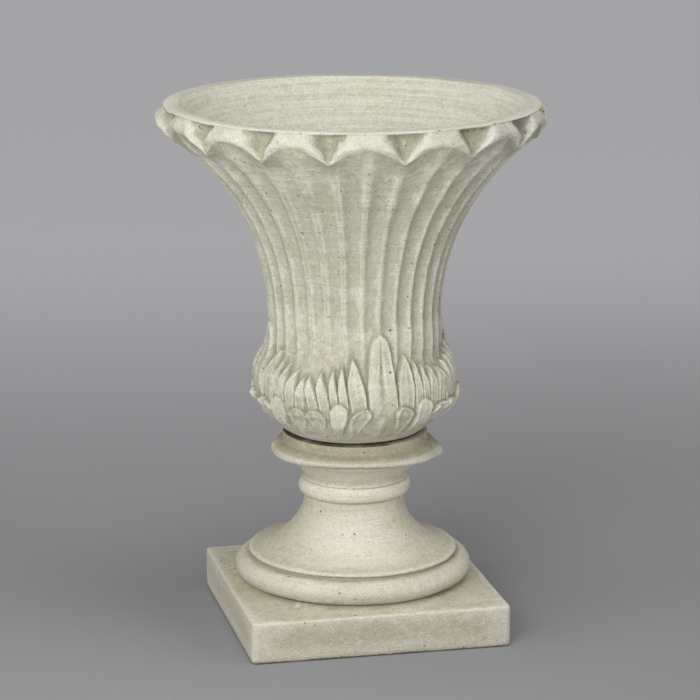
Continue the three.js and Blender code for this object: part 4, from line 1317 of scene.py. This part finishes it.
bowl_stone = cast_stone(
    "bowl_stone", pale=tone(218, 215, 199), deep=tone(206, 201, 182), cool=tone(200, 204, 191),
    wash=tone(240, 238, 227), grime=tone(158, 157, 136), dirt_and_shade=tone(122, 119, 98),
    wash_amount=0.75, grime_amount=0.55, streak=0.16, brush=0.08)
pedestal_stone = cast_stone(
    "pedestal_stone", pale=tone(224, 219, 202), deep=tone(210, 203, 182), cool=tone(208, 207, 192),
    wash=tone(242, 239, 227), grime=tone(168, 160, 136), dirt_and_shade=tone(129, 121, 99),
    wash_amount=0.6, grime_amount=0.6, streak=0.08, brush=0.32)
for piece, material in ((bowl, bowl_stone), (pedestal, pedestal_stone)):
    piece.data.materials.clear()
    piece.data.materials.append(material)
print("mixed", bowl_stone.name, "and", pedestal_stone.name)

# %% [markdown]
# ## Plastic and rubber
#
# The tube is grey plastic, a little scuffed, and the pads are cut from black rubber sheet with a
# dusty bloom. A single colour would look too clean for both. The blotches and the grain that the
# stone has serve them too, so one function mixes both with tones and a sheen of their own.

# %% Tube and pads
def plain_finish(name, base, worn, roughness, scale, depth):
    """A plastic or rubber whose colour and sheen vary softly over the surface."""
    material, tree, shader = new_material(name)
    place = node(tree, "TexCoord").outputs["Object"]
    cloud = use(tree, blotches, {"Place": place, "Scale": 45.0, "Pale": worn, "Deep": base})["Colour"]
    fleck = use(tree, grain, {"Place": place, "Scale": scale})["Grain"]
    flecked = mixed(tree, part(tree, fleck, 0.2), cloud, worn)
    sheen = spread(tree, fleck, 0, 1, roughness - 0.08, roughness + 0.08)
    tree.links.new(flecked, shader.inputs["Base Color"])
    tree.links.new(sheen, shader.inputs["Roughness"])
    bump = node(tree, "Bump", {"Strength": 0.4, "Distance": depth, "Height": fleck})
    tree.links.new(bump.outputs[0], shader.inputs["Normal"])
    return material


tube_plastic = plain_finish("tube_plastic", base=tone(132, 134, 138), worn=tone(156, 158, 160),
                            roughness=0.45, scale=500.0, depth=0.05 * mm)
pad_rubber = plain_finish("pad_rubber", base=tone(38, 37, 36), worn=tone(70, 68, 64),
                          roughness=0.8, scale=900.0, depth=0.1 * mm)
tube.data.materials.append(tube_plastic)
for pad in pads:
    pad.data.materials.append(pad_rubber)
print("mixed", tube_plastic.name, "and", pad_rubber.name)

# %% [markdown]
# ## Riding on the frame
#
# Each fine piece stands for its plain solid and moves with that solid's body: the pads stay on the
# pedestal, the tube turns with the bowl, and the bowl can be lifted off them all.

# %% Tie the pieces to their bodies
for piece, body, replaced, finish in (
        (pedestal, "pedestal", "pedestal", "pedestal_stone"),
        (bowl, "bowl", "bowl", "bowl_stone"),
        (tube, "drain_tube", "drain_tube", "tube_plastic"),
        (pads[0], "pedestal", "setting_pad_1", "pad_rubber"),
        (pads[1], "pedestal", "setting_pad_2", "pad_rubber"),
        (pads[2], "pedestal", "setting_pad_3", "pad_rubber")):
    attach(piece, body)
    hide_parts(replaced)
    print(piece.name, "rides on", body)

# %% [markdown]
# ## Camera
#
# The photograph was taken from a little above, with a long lens, and a little to the left of
# the plinth's front. The place and the lens were worked out from the plinth's corners and the
# ellipses of the rim.

# %% Place the camera
LENS, SENSOR_WIDTH = 159.16, 36
CAMERA_ANGLE = math.radians(-12.64)
CAMERA_DISTANCE = 3.5517
CAMERA_HEIGHT = 1.1927
LOOK_DOWN = math.radians(13.68)
LOOK_ASIDE = math.radians(0.061)
bpy.ops.object.camera_add(
    location=around(CAMERA_DISTANCE, CAMERA_ANGLE, CAMERA_HEIGHT),
    rotation=(math.pi / 2 - LOOK_DOWN, 0, CAMERA_ANGLE + LOOK_ASIDE))
camera = bpy.context.object
camera.data.lens = LENS
camera.data.sensor_width = SENSOR_WIDTH
bpy.context.scene.camera = camera
print("camera at", [round(value, 3) for value in camera.location])

# %% [markdown]
# ## Light and floor
#
# The photo's light comes from a large soft source at the front left. A weak light stands at each
# side, a wide one hangs overhead, a pale card lies on the floor in front, and the sky is even. The
# floor is plain and fills the view, and its paint grows paler with distance, as the photo's
# backdrop does. Area lights stay unseen by the camera, so that none shows in a view from behind.

# %% Lay the floor
FLOOR_SIZE = 40
PALER_FROM, PALER_TO = 0.2, 2.3
bpy.ops.object.select_all(action="DESELECT")
bpy.ops.mesh.primitive_plane_add(size=FLOOR_SIZE)
floor = bpy.context.object
floor.name = "studio_floor"
floor_painted_falloff, tree, shader = new_material("floor_painted_falloff")
place = node(tree, "TexCoord").outputs["Object"]
away = around(-1, CAMERA_ANGLE, 0)
depth = node(tree, "VectorMath", {0: place, 1: away}, operation="DOT_PRODUCT").outputs["Value"]
# Painted light: the floor is painted paler with distance, standing in for more light on the far backdrop
painted_falloff = mixed(tree, spread(tree, depth, PALER_FROM, PALER_TO), tone(147, 147, 149), tone(203, 203, 206))
tree.links.new(painted_falloff, shader.inputs["Base Color"])
shader.inputs["Roughness"].default_value = 0.9
shader.inputs["Specular IOR Level"].default_value = 0.1
floor.data.materials.append(floor_painted_falloff)
print(f"the floor is {FLOOR_SIZE} m wide")

# %% Kinds of light
SUN_DISTANCE = 3
SUN_WIDTH = math.radians(40)


def square_light(name, location, rotation, size, power):
    """A square area light that the camera doesn't see."""
    bpy.ops.object.light_add(type="AREA", location=location, rotation=rotation)
    light = bpy.context.object
    light.name = name
    light.data.shape = "SQUARE"
    light.data.size = size
    light.data.energy = power
    light.visible_camera = False


def softbox(name, angle, elevation, distance, aim, size, power):
    """An area light at an angle and elevation in degrees, aimed at a height on the urn's axis."""
    angle, elevation = math.radians(angle), math.radians(elevation)
    location = around(distance * math.cos(elevation), angle, aim + distance * math.sin(elevation))
    square_light(name, location, (math.pi / 2 - elevation, 0, angle), size, power)


def far_light(name, angle, elevation, energy):
    """A wide soft light from far away, at an angle and elevation in degrees."""
    angle, elevation = math.radians(angle), math.radians(elevation)
    location = around(SUN_DISTANCE * math.cos(elevation), angle, SUN_DISTANCE * math.sin(elevation))
    bpy.ops.object.light_add(type="SUN", location=location, rotation=(math.pi / 2 - elevation, 0, angle))
    light = bpy.context.object
    light.name = name
    light.data.energy = energy
    light.data.angle = SUN_WIDTH


print("far lights are", round(math.degrees(SUN_WIDTH)), "degrees wide")

# %% Hang the lights
softbox("key_light", angle=-33, elevation=22.6, distance=1.95, aim=0.45, size=1.0, power=20)
softbox("front_light", angle=-14, elevation=14, distance=1.9, aim=0.3, size=1.0, power=4.5)
square_light("floor_card", location=around(0.95, math.radians(-12), 2 * mm), rotation=(math.pi, 0, 0),
             size=0.8, power=4.2)
far_light("overhead_light", angle=0, elevation=80, energy=1)
far_light("right_light", angle=60, elevation=25, energy=0.7)
far_light("left_light", angle=-85, elevation=15, energy=0.55)
world = bpy.data.worlds.new("studio_air")
world.use_nodes = True
sky = world.node_tree.nodes["Background"].inputs
sky["Color"].default_value = (1, 1, 1, 1)
sky["Strength"].default_value = 0.16
bpy.context.scene.world = world
bpy.context.scene.view_settings.view_transform = "Standard"
